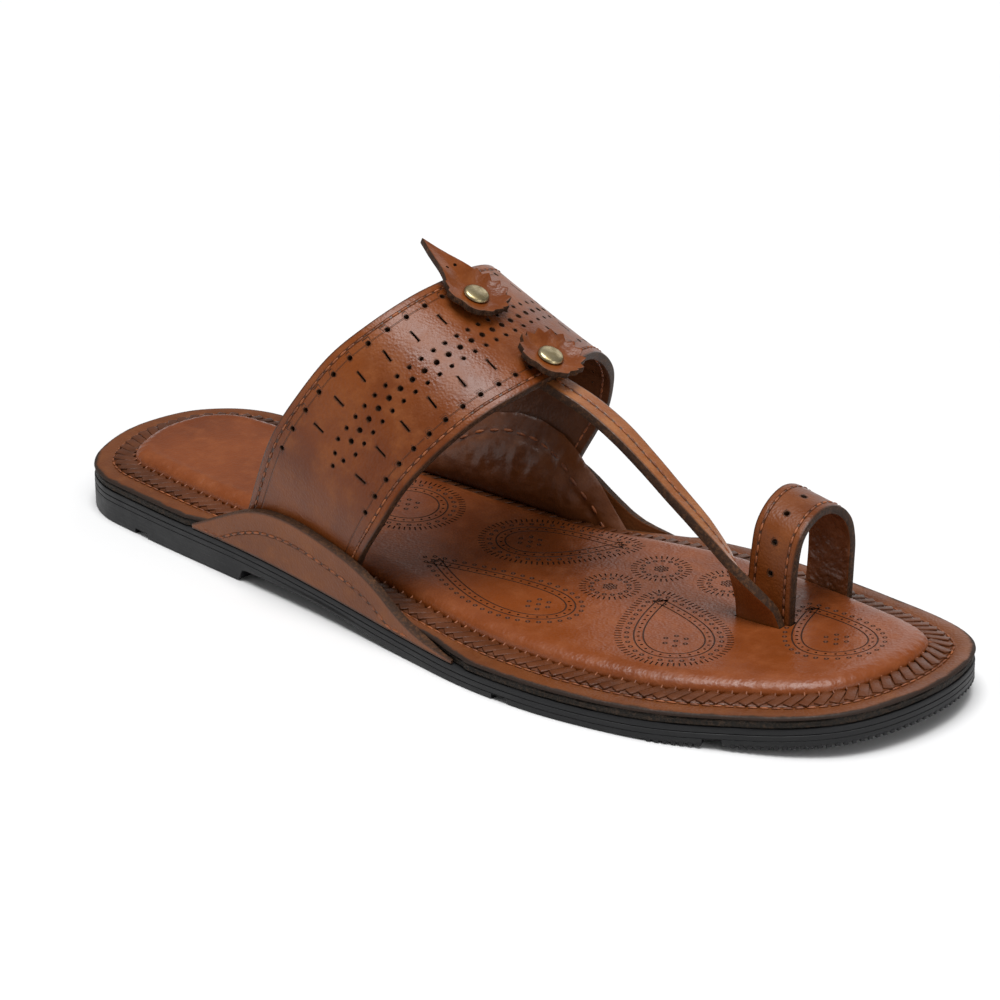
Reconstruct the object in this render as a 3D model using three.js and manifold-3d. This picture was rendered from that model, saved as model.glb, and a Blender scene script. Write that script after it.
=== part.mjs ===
// Kolhapuri sandal for the right foot, in millimetres, +Z up, toe towards +X, big toe towards +Y.
// Everything is worked out in a heel frame (x = 0 at the back of the heel), then centred on the origin.

import * as THREE from 'three';
import { mergeVertices } from 'three/addons/utils/BufferGeometryUtils.js';
import Module from 'manifold-3d';

const wasm = await Module();
wasm.setup();

// ---- driving dimensions -------------------------------------------------------------------------

const LENGTH = 285;
const CENTRE_Y = -1.15;
const GAP = 0.3;

const RIM_TOP_HEEL = 13.35;
const RIM_TOP_FOREFOOT = 8.7;
const RIM_FALL_START = 71;
const RIM_FALL_END = 171;
const TOE_SPRING = 5.5;
const TOE_SPRING_START = 205;
const RIM_THICKNESS = 1.2;
const MIDSOLE_THICKNESS = 1.7;

const BREAST_X = 80.5;
const BREAST_SLOPE = 1.6;
const ARCH_RISE = 3.8;
const ARCH_FALL_START = 110;
const ARCH_FALL_END = 152;

const PAD_INSET = 12.3;
const PAD_HEIGHT = 3.6;
const PAD_EDGE_RADIUS = 6.5;
const PAD_EDGE_LIP = 0.4;
const HEEL_DISH = 0.9;
const HEEL_DISH_FADE_START = 45;
const HEEL_DISH_FADE_END = 90;

const STRAP_WALL = 2.6;
const WING_WALL = 2.6;
const WING_LEAN = 0.06;
const SLOT_CLEARANCE = 0.35;

const ROSETTE_RADIUS = 9.6;
const ROSETTE_TOOTH = 1.3;
const ROSETTE_TEETH = 16;
const ROSETTE_WALL = 1.9;
const ROSETTE_CUP = 2.4;
const LEAF_REACH = 22.5;
const LEAF_HALF_WIDTH = 4.6;
const LEAF_ROOT = 7.0;
const LEAF_LIFT = 1.6;

const RIVET_CAP_RADIUS = 3.5;
const RIVET_CAP_HEIGHT = 1.5;
const RIVET_CAP_EDGE = 0.45;
const RIVET_SHANK_RADIUS = 1.4;
const RIVET_HOLE_RADIUS = 1.75;
const RIVET_FLANGE_RADIUS = 2.7;
const RIVET_FLANGE_HEIGHT = 0.7;
const RIVET_SIDES = 20;

// ---- tables -------------------------------------------------------------------------------------

// Plan of the sole: the half breadth on each side at each section, between the two tips.
const HEEL_TIP = { x: 0, y: 5.5 };
const TOE_TIP = { x: LENGTH, y: 8.5 };
const SOLE_PLAN = [
  { x: 4, lateral: -12.5, medial: 24 },
  { x: 10, lateral: -22, medial: 32 },
  { x: 19, lateral: -28, medial: 38 },
  { x: 32, lateral: -31, medial: 40.5 },
  { x: 50, lateral: -34, medial: 39.5 },
  { x: 75, lateral: -37.5, medial: 38 },
  { x: 100, lateral: -41, medial: 38.5 },
  { x: 125, lateral: -45, medial: 40 },
  { x: 150, lateral: -49.5, medial: 43 },
  { x: 172, lateral: -53.5, medial: 48.5 },
  { x: 192, lateral: -54.5, medial: 52 },
  { x: 210, lateral: -53, medial: 52 },
  { x: 230, lateral: -49, medial: 49 },
  { x: 248, lateral: -42, medial: 44.5 },
  { x: 263, lateral: -35, medial: 39.5 },
  { x: 274, lateral: -26, medial: 33.5 },
  { x: 281.5, lateral: -12, medial: 25 },
];

// Recesses in the bottom edge of the outsole, one row for each pair.
const EDGE_NOTCHES = [
  { x: 37.5, width: 5.6, height: 1.7 },
  { x: 185, width: 5.2, height: 1.5 },
  { x: 244.6, width: 4.8, height: 1.6 },
];
const NOTCH_DEPTH = 4.5;

// Side wings: the height of the top edge along the sole.
const WING_TOPS = {
  lateral: [
    { x: 61, z: 11.5 },
    { x: 72, z: 17 },
    { x: 80, z: 21 },
    { x: 90, z: 24.5 },
    { x: 102, z: 25.5 },
    { x: 120, z: 23 },
    { x: 130, z: 20.5 },
    { x: 138, z: 17 },
    { x: 145, z: 12.5 },
    { x: 153, z: 9 },
    { x: 168, z: 6.5 },
  ],
  medial: [
    { x: 66, z: 11.5 },
    { x: 72, z: 15 },
    { x: 80, z: 20.5 },
    { x: 92, z: 25.5 },
    { x: 110, z: 28 },
    { x: 126, z: 28.5 },
    { x: 137, z: 27 },
    { x: 145, z: 23 },
    { x: 152, z: 17.5 },
    { x: 160, z: 11.5 },
    { x: 172, z: 7 },
  ],
};

// Instep band: the outer surface between its rear and front edges, from the lateral to the medial side.
const BAND_SECTIONS = [
  { at: 'lateral_low', rearX: 96.5, rearY: -41, rearZ: 49, frontX: 137, frontY: -45, frontZ: 33.5 },
  { at: 'lateral_side', rearX: 103.5, rearY: -37.5, rearZ: 62, frontX: 142.5, frontY: -40.5, frontZ: 45 },
  { at: 'lateral_turn', rearX: 110.5, rearY: -31.5, rearZ: 73.5, frontX: 150, frontY: -33.5, frontZ: 56 },
  { at: 'lateral_shoulder', rearX: 118, rearY: -23, rearZ: 82, frontX: 157, frontY: -24, frontZ: 64.5 },
  { at: 'lateral_crown', rearX: 122.5, rearY: -11.5, rearZ: 87, frontX: 162, frontY: -12, frontZ: 69 },
  { at: 'crown', rearX: 124, rearY: 2, rearZ: 88.5, frontX: 163.5, frontY: 1, frontZ: 70.5 },
  { at: 'medial_crown', rearX: 123, rearY: 16, rearZ: 88, frontX: 162, frontY: 13.5, frontZ: 70.5 },
  { at: 'medial_shoulder', rearX: 119.5, rearY: 29.5, rearZ: 83, frontX: 158.5, frontY: 26, frontZ: 67.5 },
  { at: 'medial_turn', rearX: 113.5, rearY: 38, rearZ: 72, frontX: 154.5, frontY: 38, frontZ: 60 },
  { at: 'medial_side', rearX: 107, rearY: 40.5, rearZ: 59, frontX: 150, frontY: 46, frontZ: 51 },
  { at: 'medial_low', rearX: 100, rearY: 40.5, rearZ: 44.5, frontX: 146, frontY: 48, frontZ: 39 },
];

// Where the band goes down behind the wings, at the rim and a little above it.
const BAND_FEET = {
  lateral: { side: 'lateral', rearX: 79.0, frontX: 124.5, tuckRearX: 82.4, tuckFrontX: 128.6, tuckZ: 20.5 },
  medial: { side: 'medial', rearX: 88.5, frontX: 137.5, tuckRearX: 91.0, tuckFrontX: 141.4, tuckZ: 23.5 },
};

// Toe strap: the middle of the strap from under the front rosette down to its slot in the footbed.
const TOE_STRAP_WALL = 2.7;
const TOE_STRAP_BELOW_BAND = 1.3;
const TOE_STRAP = [
  { x: 151, y: 0, z: 73.5, width: 8, twist: 0 },
  { x: 158, y: 0, z: 70, width: 8, twist: 0 },
  { x: 164.5, y: 0, z: 67, width: 8, twist: 0 },
  { x: 174, y: 0, z: 63.5, width: 8, twist: 0 },
  { x: 184, y: 0, z: 58.5, width: 8, twist: 0 },
  { x: 193.5, y: 0, z: 52, width: 7.5, twist: 2 },
  { x: 202, y: 0.5, z: 45, width: 7.5, twist: 6 },
  { x: 210.5, y: 1.5, z: 37.5, width: 8, twist: 14 },
  { x: 217.5, y: 2.5, z: 30, width: 9, twist: 32 },
  { x: 222.5, y: 3.5, z: 23, width: 11, twist: 60 },
  { x: 226.5, y: 4.5, z: 16, width: 13.5, twist: 86 },
  { x: 228.5, y: 5, z: 7, width: 14.5, twist: 90 },
];

// Toe loop: the outer surface at its front and rear edges, from the lateral foot over to the medial foot.
const LOOP_FRONT_X = 236;
const LOOP_REAR_X = 221.5;
const LOOP_SECTIONS = [
  { frontY: 6, frontZ: 7, rearY: 6, rearZ: 7 },
  { frontY: 6, frontZ: 15.5, rearY: 6, rearZ: 15.5 },
  { frontY: 6, frontZ: 23, rearY: 7, rearZ: 23.5 },
  { frontY: 6.5, frontZ: 30, rearY: 8, rearZ: 31 },
  { frontY: 9, frontZ: 37, rearY: 10, rearZ: 38.5 },
  { frontY: 14, frontZ: 41, rearY: 15, rearZ: 43 },
  { frontY: 21.5, frontZ: 42.5, rearY: 22.5, rearZ: 45 },
  { frontY: 29, frontZ: 40.5, rearY: 30, rearZ: 43 },
  { frontY: 35.5, frontZ: 35, rearY: 36.5, rearZ: 37.5 },
  { frontY: 38, frontZ: 28, rearY: 39.5, rearZ: 29.5 },
  { frontY: 38, frontZ: 20.5, rearY: 40, rearZ: 21.5 },
  { frontY: 37.5, frontZ: 7, rearY: 39, rearZ: 7 },
];

// Where the rivets go through the band: the share of the way from its rear edge to its front edge.
const REAR_RIVET_AT = 0.25;
const FRONT_RIVET_AT = 0.9;

// ---- small helpers ------------------------------------------------------------------------------

const lerp = THREE.MathUtils.lerp;
const smoothstep = THREE.MathUtils.smoothstep;
const vec = (x, y, z) => new THREE.Vector3(x, y, z);
const range = (count) => Array.from({ length: count + 1 }, (_, i) => i / count);
const eased = (count) => range(count).map((t) => (1 - Math.cos(Math.PI * t)) / 2);

// A smooth curve through the rows of a table, read at x.
function tableCurve(rows, column) {
  const places = rows.map((row) => row.x);
  const curve = new THREE.CubicInterpolant(places, rows.map((row) => row[column]), 1);
  return (x) => curve.evaluate(THREE.MathUtils.clamp(x, places[0], places[places.length - 1]))[0];
}

function signedVolume(positions, indices) {
  let total = 0;
  for (let k = 0; k < indices.length; k += 3) {
    const [a, b, c] = [indices[k], indices[k + 1], indices[k + 2]].map((i) => positions[i]);
    total += a.dot(b.clone().cross(c)) / 6;
  }
  return total;
}

function closedGeometry(points, indices) {
  const facesOut = signedVolume(points, indices) > 0;
  const index = facesOut ? indices : indices.slice().reverse();
  const geometry = new THREE.BufferGeometry();
  const positions = points.flatMap((p) => p.toArray());
  geometry.setAttribute('position', new THREE.Float32BufferAttribute(positions, 3));
  geometry.setIndex(index);
  geometry.computeVertexNormals();
  return geometry;
}

// A closed solid between two grids of points of the same size; with wrap, the last column meets the first.
function solidBetween(outer, inner, wrap = false) {
  const rows = outer.length;
  const columns = outer[0].length;
  const points = [...outer.flat(), ...inner.flat()];
  const top = (i, j) => i * columns + (j % columns);
  const bottom = (i, j) => rows * columns + top(i, j);
  const indices = [];
  const quad = (a, b, c, d) => indices.push(a, b, c, a, c, d);
  const lastColumn = wrap ? columns : columns - 1;
  for (let i = 0; i < rows - 1; i += 1) {
    for (let j = 0; j < lastColumn; j += 1) {
      quad(top(i, j), top(i + 1, j), top(i + 1, j + 1), top(i, j + 1));
      quad(bottom(i, j), bottom(i, j + 1), bottom(i + 1, j + 1), bottom(i + 1, j));
    }
    if (!wrap) {
      quad(top(i, 0), bottom(i, 0), bottom(i + 1, 0), top(i + 1, 0));
      quad(top(i, lastColumn), top(i + 1, lastColumn), bottom(i + 1, lastColumn), bottom(i, lastColumn));
    }
  }
  for (let j = 0; j < lastColumn; j += 1) {
    quad(top(0, j), top(0, j + 1), bottom(0, j + 1), bottom(0, j));
    quad(top(rows - 1, j), bottom(rows - 1, j), bottom(rows - 1, j + 1), top(rows - 1, j + 1));
  }
  return closedGeometry(points, indices);
}

// The wall's other face: every point of a grid moved along the grid's own normal.
function offsetGrid(grid, distance) {
  const rows = grid.length;
  const columns = grid[0].length;
  return grid.map((row, i) => row.map((point, j) => {
    const along = grid[Math.min(i + 1, rows - 1)][j].clone().sub(grid[Math.max(i - 1, 0)][j]);
    const across = row[Math.min(j + 1, columns - 1)].clone().sub(row[Math.max(j - 1, 0)]);
    return point.clone().addScaledVector(along.cross(across).normalize(), distance);
  }));
}

function toManifold(geometry) {
  const bare = geometry.clone();
  bare.deleteAttribute('normal');
  bare.deleteAttribute('uv');
  const merged = mergeVertices(bare, 1e-4);
  const vertProperties = new Float32Array(merged.attributes.position.array);
  const triVerts = new Uint32Array(merged.index.array);
  return new wasm.Manifold(new wasm.Mesh({ numProp: 3, vertProperties, triVerts }));
}

function fromManifold(solid) {
  const mesh = solid.getMesh();
  const geometry = new THREE.BufferGeometry();
  geometry.setAttribute('position', new THREE.Float32BufferAttribute(mesh.vertProperties, 3));
  geometry.setIndex([...mesh.triVerts]);
  geometry.computeVertexNormals();
  return geometry;
}

const joined = (first, ...others) =>
  fromManifold(others.reduce((solid, other) => solid.add(toManifold(other)), toManifold(first)));

const cut = (first, ...others) =>
  fromManifold(others.reduce((solid, other) => solid.subtract(toManifold(other)), toManifold(first)));

// ---- sole heights -------------------------------------------------------------------------------

function toeSpring(x) {
  const t = Math.max(0, (x - TOE_SPRING_START) / (LENGTH - TOE_SPRING_START));
  return TOE_SPRING * t * t;
}

function rimTop(x) {
  return lerp(RIM_TOP_HEEL, RIM_TOP_FOREFOOT, smoothstep(x, RIM_FALL_START, RIM_FALL_END)) + toeSpring(x);
}

const rimBottom = (x) => rimTop(x) - RIM_THICKNESS;
const midsoleTop = (x) => rimBottom(x) - GAP;
const midsoleBottom = (x) => midsoleTop(x) - MIDSOLE_THICKNESS;
const outsoleTop = (x) => midsoleBottom(x) - GAP;

function outsoleBottom(x) {
  if (x <= BREAST_X) return 0;
  const breast = Math.min(1, (x - BREAST_X) / BREAST_SLOPE);
  const fall = 1 - smoothstep(x, ARCH_FALL_START, ARCH_FALL_END);
  return ARCH_RISE * breast * fall + toeSpring(x);
}

// ---- sole plan ----------------------------------------------------------------------------------

const OUTLINE_POINTS = 220;

function soleOutline() {
  const lateral = SOLE_PLAN.map((row) => vec(row.x, row.lateral, 0));
  const medial = SOLE_PLAN.map((row) => vec(row.x, row.medial, 0)).reverse();
  const tips = [vec(HEEL_TIP.x, HEEL_TIP.y, 0), vec(TOE_TIP.x, TOE_TIP.y, 0)];
  const curve = new THREE.CatmullRomCurve3([tips[0], ...lateral, tips[1], ...medial], true, 'centripetal');
  return curve.getSpacedPoints(OUTLINE_POINTS).slice(0, OUTLINE_POINTS);
}

const OUTLINE = soleOutline();

// The outline moved inwards; inset(point) gives the distance at each point.
function insetOutline(inset) {
  const count = OUTLINE.length;
  return OUTLINE.map((point, i) => {
    const along = OUTLINE[(i + 1) % count].clone().sub(OUTLINE[(i + count - 1) % count]).normalize();
    return point.clone().addScaledVector(vec(-along.y, along.x, 0), inset(point));
  });
}

// Where a closed outline crosses a section: its lateral and medial y.
function crossings(loop, x) {
  let lateral = Infinity;
  let medial = -Infinity;
  loop.forEach((a, i) => {
    const b = loop[(i + 1) % loop.length];
    if ((a.x - x) * (b.x - x) > 0 || a.x === b.x) return;
    const y = lerp(a.y, b.y, (x - a.x) / (b.x - a.x));
    lateral = Math.min(lateral, y);
    medial = Math.max(medial, y);
  });
  return { lateral, medial };
}

function distanceInside(loop, x, y) {
  let nearest = Infinity;
  loop.forEach((a, i) => {
    const b = loop[(i + 1) % loop.length];
    const t = THREE.MathUtils.clamp(
      ((x - a.x) * (b.x - a.x) + (y - a.y) * (b.y - a.y)) / a.distanceToSquared(b), 0, 1);
    nearest = Math.min(nearest, Math.hypot(lerp(a.x, b.x, t) - x, lerp(a.y, b.y, t) - y));
  });
  return nearest;
}

const SOLE_SECTIONS = 58;
const PAD_SECTIONS = 48;
const PAD_COLUMNS = 10;
const END_MARGIN = 0.05;

// A layer of the sole between two heights, in sections along x and columns across.
function soleLayer(loop, columns, sectionCount, topAt, bottomAt, extraSections = []) {
  const start = Math.min(...loop.map((p) => p.x)) + END_MARGIN;
  const end = Math.max(...loop.map((p) => p.x)) - END_MARGIN;
  const spread = eased(sectionCount).map((t) => lerp(start, end, t));
  const sections = [...spread, ...extraSections].sort((a, b) => a - b);
  const rows = (heightAt) => sections.map((x) => {
    const { lateral, medial } = crossings(loop, x);
    return columns.map((t) => {
      const y = lerp(lateral, medial, t);
      return vec(x, y, heightAt(x, y));
    });
  });
  return solidBetween(rows(topAt), rows(bottomAt));
}

// ---- wings --------------------------------------------------------------------------------------

const WING_TAPER = 14;
const WING_TIP_WALL = 0.9;
const WING_ROOM_MARGIN = 4;
const SIDE_SIGN = { lateral: -1, medial: 1 };
const WING_SECTIONS = 30;
const wingTop = { lateral: tableCurve(WING_TOPS.lateral, 'z'), medial: tableCurve(WING_TOPS.medial, 'z') };

const wingStart = (side) => WING_TOPS[side][0].x;
const wingEnd = (side) => WING_TOPS[side][WING_TOPS[side].length - 1].x;

function wingWall(side, x) {
  const rise = smoothstep(x, wingStart(side), wingStart(side) + WING_TAPER);
  const fall = 1 - smoothstep(x, wingEnd(side) - WING_TAPER, wingEnd(side));
  return lerp(WING_TIP_WALL, WING_WALL, rise * fall);
}

// How far the rim and the midsole stand back to make room for a wing.
function wingRoom(side, x) {
  const inside = x > wingStart(side) - WING_ROOM_MARGIN && x < wingEnd(side) + WING_ROOM_MARGIN;
  return inside ? wingWall(side, x) + GAP : 0;
}

function wingOuterY(side, x, z) {
  const lean = WING_LEAN * Math.max(0, z - outsoleTop(x));
  return crossings(OUTLINE, x)[side] + SIDE_SIGN[side] * lean;
}

// With a clearance, the wing's inner face and top edge stand off by that much, to cut its neighbours.
function wing(side, clearance = 0) {
  const sections = range(WING_SECTIONS).map((t) => lerp(wingStart(side), wingEnd(side), t));
  const grid = (depthAt) => sections.map((x) => {
    const bottom = outsoleTop(x) + GAP;
    const top = wingTop[side](x) + clearance;
    return range(4).map((t) => {
      const z = lerp(bottom, top, t);
      return vec(x, wingOuterY(side, x, z) - SIDE_SIGN[side] * depthAt(x), z);
    });
  });
  return solidBetween(grid(() => -clearance), grid((x) => wingWall(side, x) + clearance));
}

// ---- sole pieces --------------------------------------------------------------------------------

const sideOf = (point) => (point.y < 0 ? 'lateral' : 'medial');
const UPPER_SOLE_LOOP = insetOutline((point) => wingRoom(sideOf(point), point.x));
const PAD_LOOP = insetOutline(() => PAD_INSET);

function edgeNotch(row, side) {
  const box = new THREE.BoxGeometry(row.width, 2 * NOTCH_DEPTH, 2 * row.height);
  box.translate(row.x, crossings(OUTLINE, row.x)[side], outsoleBottom(row.x));
  return box;
}

function outsole() {
  const breast = [BREAST_X, BREAST_X + BREAST_SLOPE];
  const block = soleLayer(OUTLINE, range(4), SOLE_SECTIONS, outsoleTop, outsoleBottom, breast);
  const notches = EDGE_NOTCHES.flatMap((row) => [edgeNotch(row, 'lateral'), edgeNotch(row, 'medial')]);
  return cut(block, ...notches);
}

const midsole = () => soleLayer(UPPER_SOLE_LOOP, range(2), SOLE_SECTIONS, midsoleTop, midsoleBottom);
const rim = () => soleLayer(UPPER_SOLE_LOOP, range(2), SOLE_SECTIONS, rimTop, rimBottom);

function padTop(x, y) {
  const edge = Math.min(1, distanceInside(PAD_LOOP, x, y) / PAD_EDGE_RADIUS);
  const crown = PAD_HEIGHT * Math.sqrt(1 - (1 - edge) ** 2);
  const heel = 1 - smoothstep(x, HEEL_DISH_FADE_START, HEEL_DISH_FADE_END);
  const dish = HEEL_DISH * smoothstep(edge, 0.5, 1) * heel;
  return rimTop(x) + GAP + PAD_EDGE_LIP + crown - dish;
}

function footbed() {
  const pad = soleLayer(PAD_LOOP, eased(PAD_COLUMNS), PAD_SECTIONS, padTop, (x) => rimTop(x) + GAP);
  return cut(pad, toeLoop(SLOT_CLEARANCE), toeStrap(SLOT_CLEARANCE));
}

// ---- upper --------------------------------------------------------------------------------------

const BAND_COLUMNS = 6;
const STRAP_STEPS_PER_ROW = 3;
const FOOT_OVERRUN = 1;

const bodyRow = (section) => range(BAND_COLUMNS).map((t) => vec(
  lerp(section.rearX, section.frontX, t),
  lerp(section.rearY, section.frontY, t),
  lerp(section.rearZ, section.frontZ, t),
));

function behindWing(side, x, z) {
  return vec(x, wingOuterY(side, x, z) - SIDE_SIGN[side] * (wingWall(side, x) + GAP), z);
}

const footRow = (foot) => range(BAND_COLUMNS).map((t) => {
  const x = lerp(foot.rearX, foot.frontX, t);
  return behindWing(foot.side, x, rimTop(x) - FOOT_OVERRUN);
});

const tuckRow = (foot) => range(BAND_COLUMNS).map((t) => {
  const x = lerp(foot.tuckRearX, foot.tuckFrontX, t);
  return behindWing(foot.side, x, foot.tuckZ);
});

// The band's outer surface: each column is a smooth curve through the rows, over the instep.
function bandSurface() {
  const { lateral, medial } = BAND_FEET;
  const over = BAND_SECTIONS.map(bodyRow);
  const rows = [footRow(lateral), tuckRow(lateral), ...over, tuckRow(medial), footRow(medial)];
  const columns = rows[0].map((_, j) => {
    const curve = new THREE.CatmullRomCurve3(rows.map((row) => row[j]), false, 'centripetal');
    return curve.getPoints((rows.length - 1) * STRAP_STEPS_PER_ROW);
  });
  return columns[0].map((_, i) => columns.map((column) => column[i]));
}

const BAND = bandSurface();

const band = () => solidBetween(BAND, offsetGrid(BAND, STRAP_WALL));

// The toe strap turns about its own middle line: flat on the instep, on edge in the footbed.
function toeStrap(clearance = 0) {
  const places = TOE_STRAP.map((row) => vec(row.x, row.y, row.z));
  const middle = new THREE.CatmullRomCurve3(places, false, 'centripetal');
  const steps = (TOE_STRAP.length - 1) * STRAP_STEPS_PER_ROW;
  const rows = range(steps).map((t) => {
    const place = t * (TOE_STRAP.length - 1);
    const i = Math.min(Math.floor(place), TOE_STRAP.length - 2);
    const blend = (column) => lerp(TOE_STRAP[i][column], TOE_STRAP[i + 1][column], place - i);
    const along = middle.getTangent(t);
    const twist = THREE.MathUtils.degToRad(blend('twist'));
    const forward = vec(1, 0, 0).addScaledVector(along, -along.x).normalize();
    const sideways = vec(0, -1, 0).multiplyScalar(Math.cos(twist)).addScaledVector(forward, Math.sin(twist));
    sideways.addScaledVector(along, -along.dot(sideways)).normalize();
    const halfWidth = blend('width') / 2 + clearance;
    const face = along.clone().cross(sideways).normalize();
    const centre = middle.getPoint(t);
    const edgeTo = (share, level) => centre.clone()
      .addScaledVector(sideways, share * halfWidth)
      .addScaledVector(face, level * (TOE_STRAP_WALL / 2 + clearance));
    return { upper: [-1, 0, 1].map((s) => edgeTo(s, 1)), lower: [-1, 0, 1].map((s) => edgeTo(s, -1)) };
  });
  return solidBetween(rows.map((row) => row.upper), rows.map((row) => row.lower));
}

function toeLoop(clearance = 0) {
  const edge = (x, y, z) => LOOP_SECTIONS.map((row) => vec(x, row[y], row[z]));
  const front = new THREE.CatmullRomCurve3(edge(LOOP_FRONT_X, 'frontY', 'frontZ'), false, 'centripetal');
  const rear = new THREE.CatmullRomCurve3(edge(LOOP_REAR_X, 'rearY', 'rearZ'), false, 'centripetal');
  const steps = (LOOP_SECTIONS.length - 1) * STRAP_STEPS_PER_ROW;
  const frontPoints = front.getPoints(steps);
  const rearPoints = rear.getPoints(steps);
  const reach = clearance / (LOOP_FRONT_X - LOOP_REAR_X);
  const surface = frontPoints.map((point, i) =>
    range(3).map((t) => rearPoints[i].clone().lerp(point, lerp(-reach, 1 + reach, t))));
  return solidBetween(offsetGrid(surface, -clearance), offsetGrid(surface, STRAP_WALL + clearance));
}

// ---- rosettes and rivets ------------------------------------------------------------------------

// A place on the band's crown: its point, and the directions forward, across and out of the leather.
function crownPlace(share) {
  const row = BAND[(BAND.length - 1) / 2];
  const forward = row[BAND_COLUMNS].clone().sub(row[0]).normalize();
  const point = row[0].clone().lerp(row[BAND_COLUMNS], share);
  const across = vec(0, 1, 0).addScaledVector(forward, -forward.y).normalize();
  const out = forward.clone().cross(across).normalize();
  return new THREE.Matrix4().makeBasis(forward, across, out).setPosition(point);
}

// The edge of the leaf that grows out of the rear rosette, at an angle from its middle line.
function leafRadius(angle) {
  const slope = LEAF_HALF_WIDTH / (LEAF_REACH - LEAF_ROOT);
  const turn = Math.abs(angle);
  return (LEAF_REACH * slope) / (Math.sin(turn) + slope * Math.cos(turn));
}

// Flat under the rivet's cap, then rising to the petals' tips.
const ROSETTE_FLAT_RADIUS = RIVET_CAP_RADIUS + 0.6;
const CUP_POWER = 1.5;

function smoothCup(radius) {
  const share = (radius - ROSETTE_FLAT_RADIUS) / (ROSETTE_RADIUS - ROSETTE_FLAT_RADIUS);
  return THREE.MathUtils.clamp(share, 0, 1) ** CUP_POWER;
}

function petalHeight(radius) {
  const cup = ROSETTE_CUP * smoothCup(radius);
  const lift = LEAF_LIFT * Math.max(0, (radius - ROSETTE_RADIUS) / (LEAF_REACH - ROSETTE_RADIUS));
  return cup + lift;
}

function rosette(withLeaf) {
  const steps = ROSETTE_TEETH * 2;
  const petalRings = [0, 0.4, 0.7, 1];
  const edgeAt = (k) => {
    const angle = (2 * Math.PI * k) / steps;
    const toothed = k % 2 === 0 ? ROSETTE_RADIUS : ROSETTE_RADIUS - ROSETTE_TOOTH;
    if (!withLeaf || Math.cos(angle) > 0) return { angle, radius: toothed };
    const fromMiddle = Math.atan2(Math.sin(angle), -Math.cos(angle));
    return { angle, radius: Math.max(toothed, leafRadius(fromMiddle)) };
  };
  const edges = range(steps).slice(0, steps).map((_, k) => edgeAt(k));
  const ring = (radiusAt, level) => edges.map((edge) => {
    const r = radiusAt(edge);
    return vec(r * Math.cos(edge.angle), r * Math.sin(edge.angle), GAP + petalHeight(r) + level);
  });
  const grid = (level) => [
    ring(() => RIVET_HOLE_RADIUS, level),
    ...petalRings.map((share) => ring((edge) => lerp(ROSETTE_FLAT_RADIUS, edge.radius, share), level)),
  ];
  return solidBetween(grid(ROSETTE_WALL), grid(0), true);
}

// A rivet: a domed cap over the rosette, a shank through the leather and a flange under it.
function rivet(leatherUnder) {
  const capBase = GAP + ROSETTE_WALL + GAP;
  const dome = [1, 0.92, 0.7, 0.4].map((share) => new THREE.Vector2(
    RIVET_CAP_RADIUS * share,
    capBase + RIVET_CAP_EDGE + (RIVET_CAP_HEIGHT - RIVET_CAP_EDGE) * Math.sqrt(1 - share * share),
  ));
  const bottom = -leatherUnder - GAP;
  const profile = [
    new THREE.Vector2(0, bottom - RIVET_FLANGE_HEIGHT),
    new THREE.Vector2(RIVET_FLANGE_RADIUS, bottom - RIVET_FLANGE_HEIGHT),
    new THREE.Vector2(RIVET_FLANGE_RADIUS, bottom),
    new THREE.Vector2(RIVET_SHANK_RADIUS, bottom),
    new THREE.Vector2(RIVET_SHANK_RADIUS, capBase),
    new THREE.Vector2(RIVET_CAP_RADIUS, capBase),
    ...dome,
    new THREE.Vector2(0, capBase + RIVET_CAP_HEIGHT),
  ];
  return new THREE.LatheGeometry(profile, RIVET_SIDES).rotateX(Math.PI / 2);
}

const DRILL_LENGTH = 20;

function rivetHole(place) {
  const drill = new THREE.CylinderGeometry(RIVET_HOLE_RADIUS, RIVET_HOLE_RADIUS, DRILL_LENGTH, RIVET_SIDES);
  return drill.rotateX(Math.PI / 2).applyMatrix4(place);
}

const REAR_PLACE = crownPlace(REAR_RIVET_AT);
const FRONT_PLACE = crownPlace(FRONT_RIVET_AT);

// The feet of all the straps end just over the rim.
const BELOW_SOLE = -10;

function belowFeet() {
  return soleLayer(OUTLINE, range(2), SOLE_SECTIONS, (x) => rimTop(x) + GAP, () => BELOW_SOLE);
}

function upperStraps() {
  const straps = joined(band(), toeStrap(), toeLoop());
  const wings = [wing('lateral', GAP), wing('medial', GAP)];
  return cut(straps, belowFeet(), ...wings, rivetHole(REAR_PLACE), rivetHole(FRONT_PLACE));
}

// ---- assembly -----------------------------------------------------------------------------------

const TAN_LEATHER = new THREE.MeshStandardMaterial({ color: 0x8f4f24, roughness: 0.42, metalness: 0 });
const FOOTBED_LEATHER = new THREE.MeshStandardMaterial({ color: 0x86502c, roughness: 0.45, metalness: 0 });
const EDGE_BOARD = new THREE.MeshStandardMaterial({ color: 0x2b221d, roughness: 0.8, metalness: 0 });
const BLACK_RUBBER = new THREE.MeshStandardMaterial({ color: 0x17181a, roughness: 0.85, metalness: 0 });
const ANTIQUE_BRASS = new THREE.MeshStandardMaterial({ color: 0x9a8d66, roughness: 0.38, metalness: 1 });

const sandal = new THREE.Group();
sandal.position.set(-LENGTH / 2, -CENTRE_Y, 0);

function piece(name, geometry, material, place = null) {
  const mesh = new THREE.Mesh(geometry, material.clone());
  mesh.name = name;
  if (place) mesh.applyMatrix4(place);
  sandal.add(mesh);
}

piece('outsole', outsole(), BLACK_RUBBER);
piece('midsole', midsole(), EDGE_BOARD);
piece('rim', rim(), TAN_LEATHER);
piece('footbed', footbed(), FOOTBED_LEATHER);
piece('wing_lateral', wing('lateral'), TAN_LEATHER);
piece('wing_medial', wing('medial'), TAN_LEATHER);

piece('upper_straps', upperStraps(), TAN_LEATHER);

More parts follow.
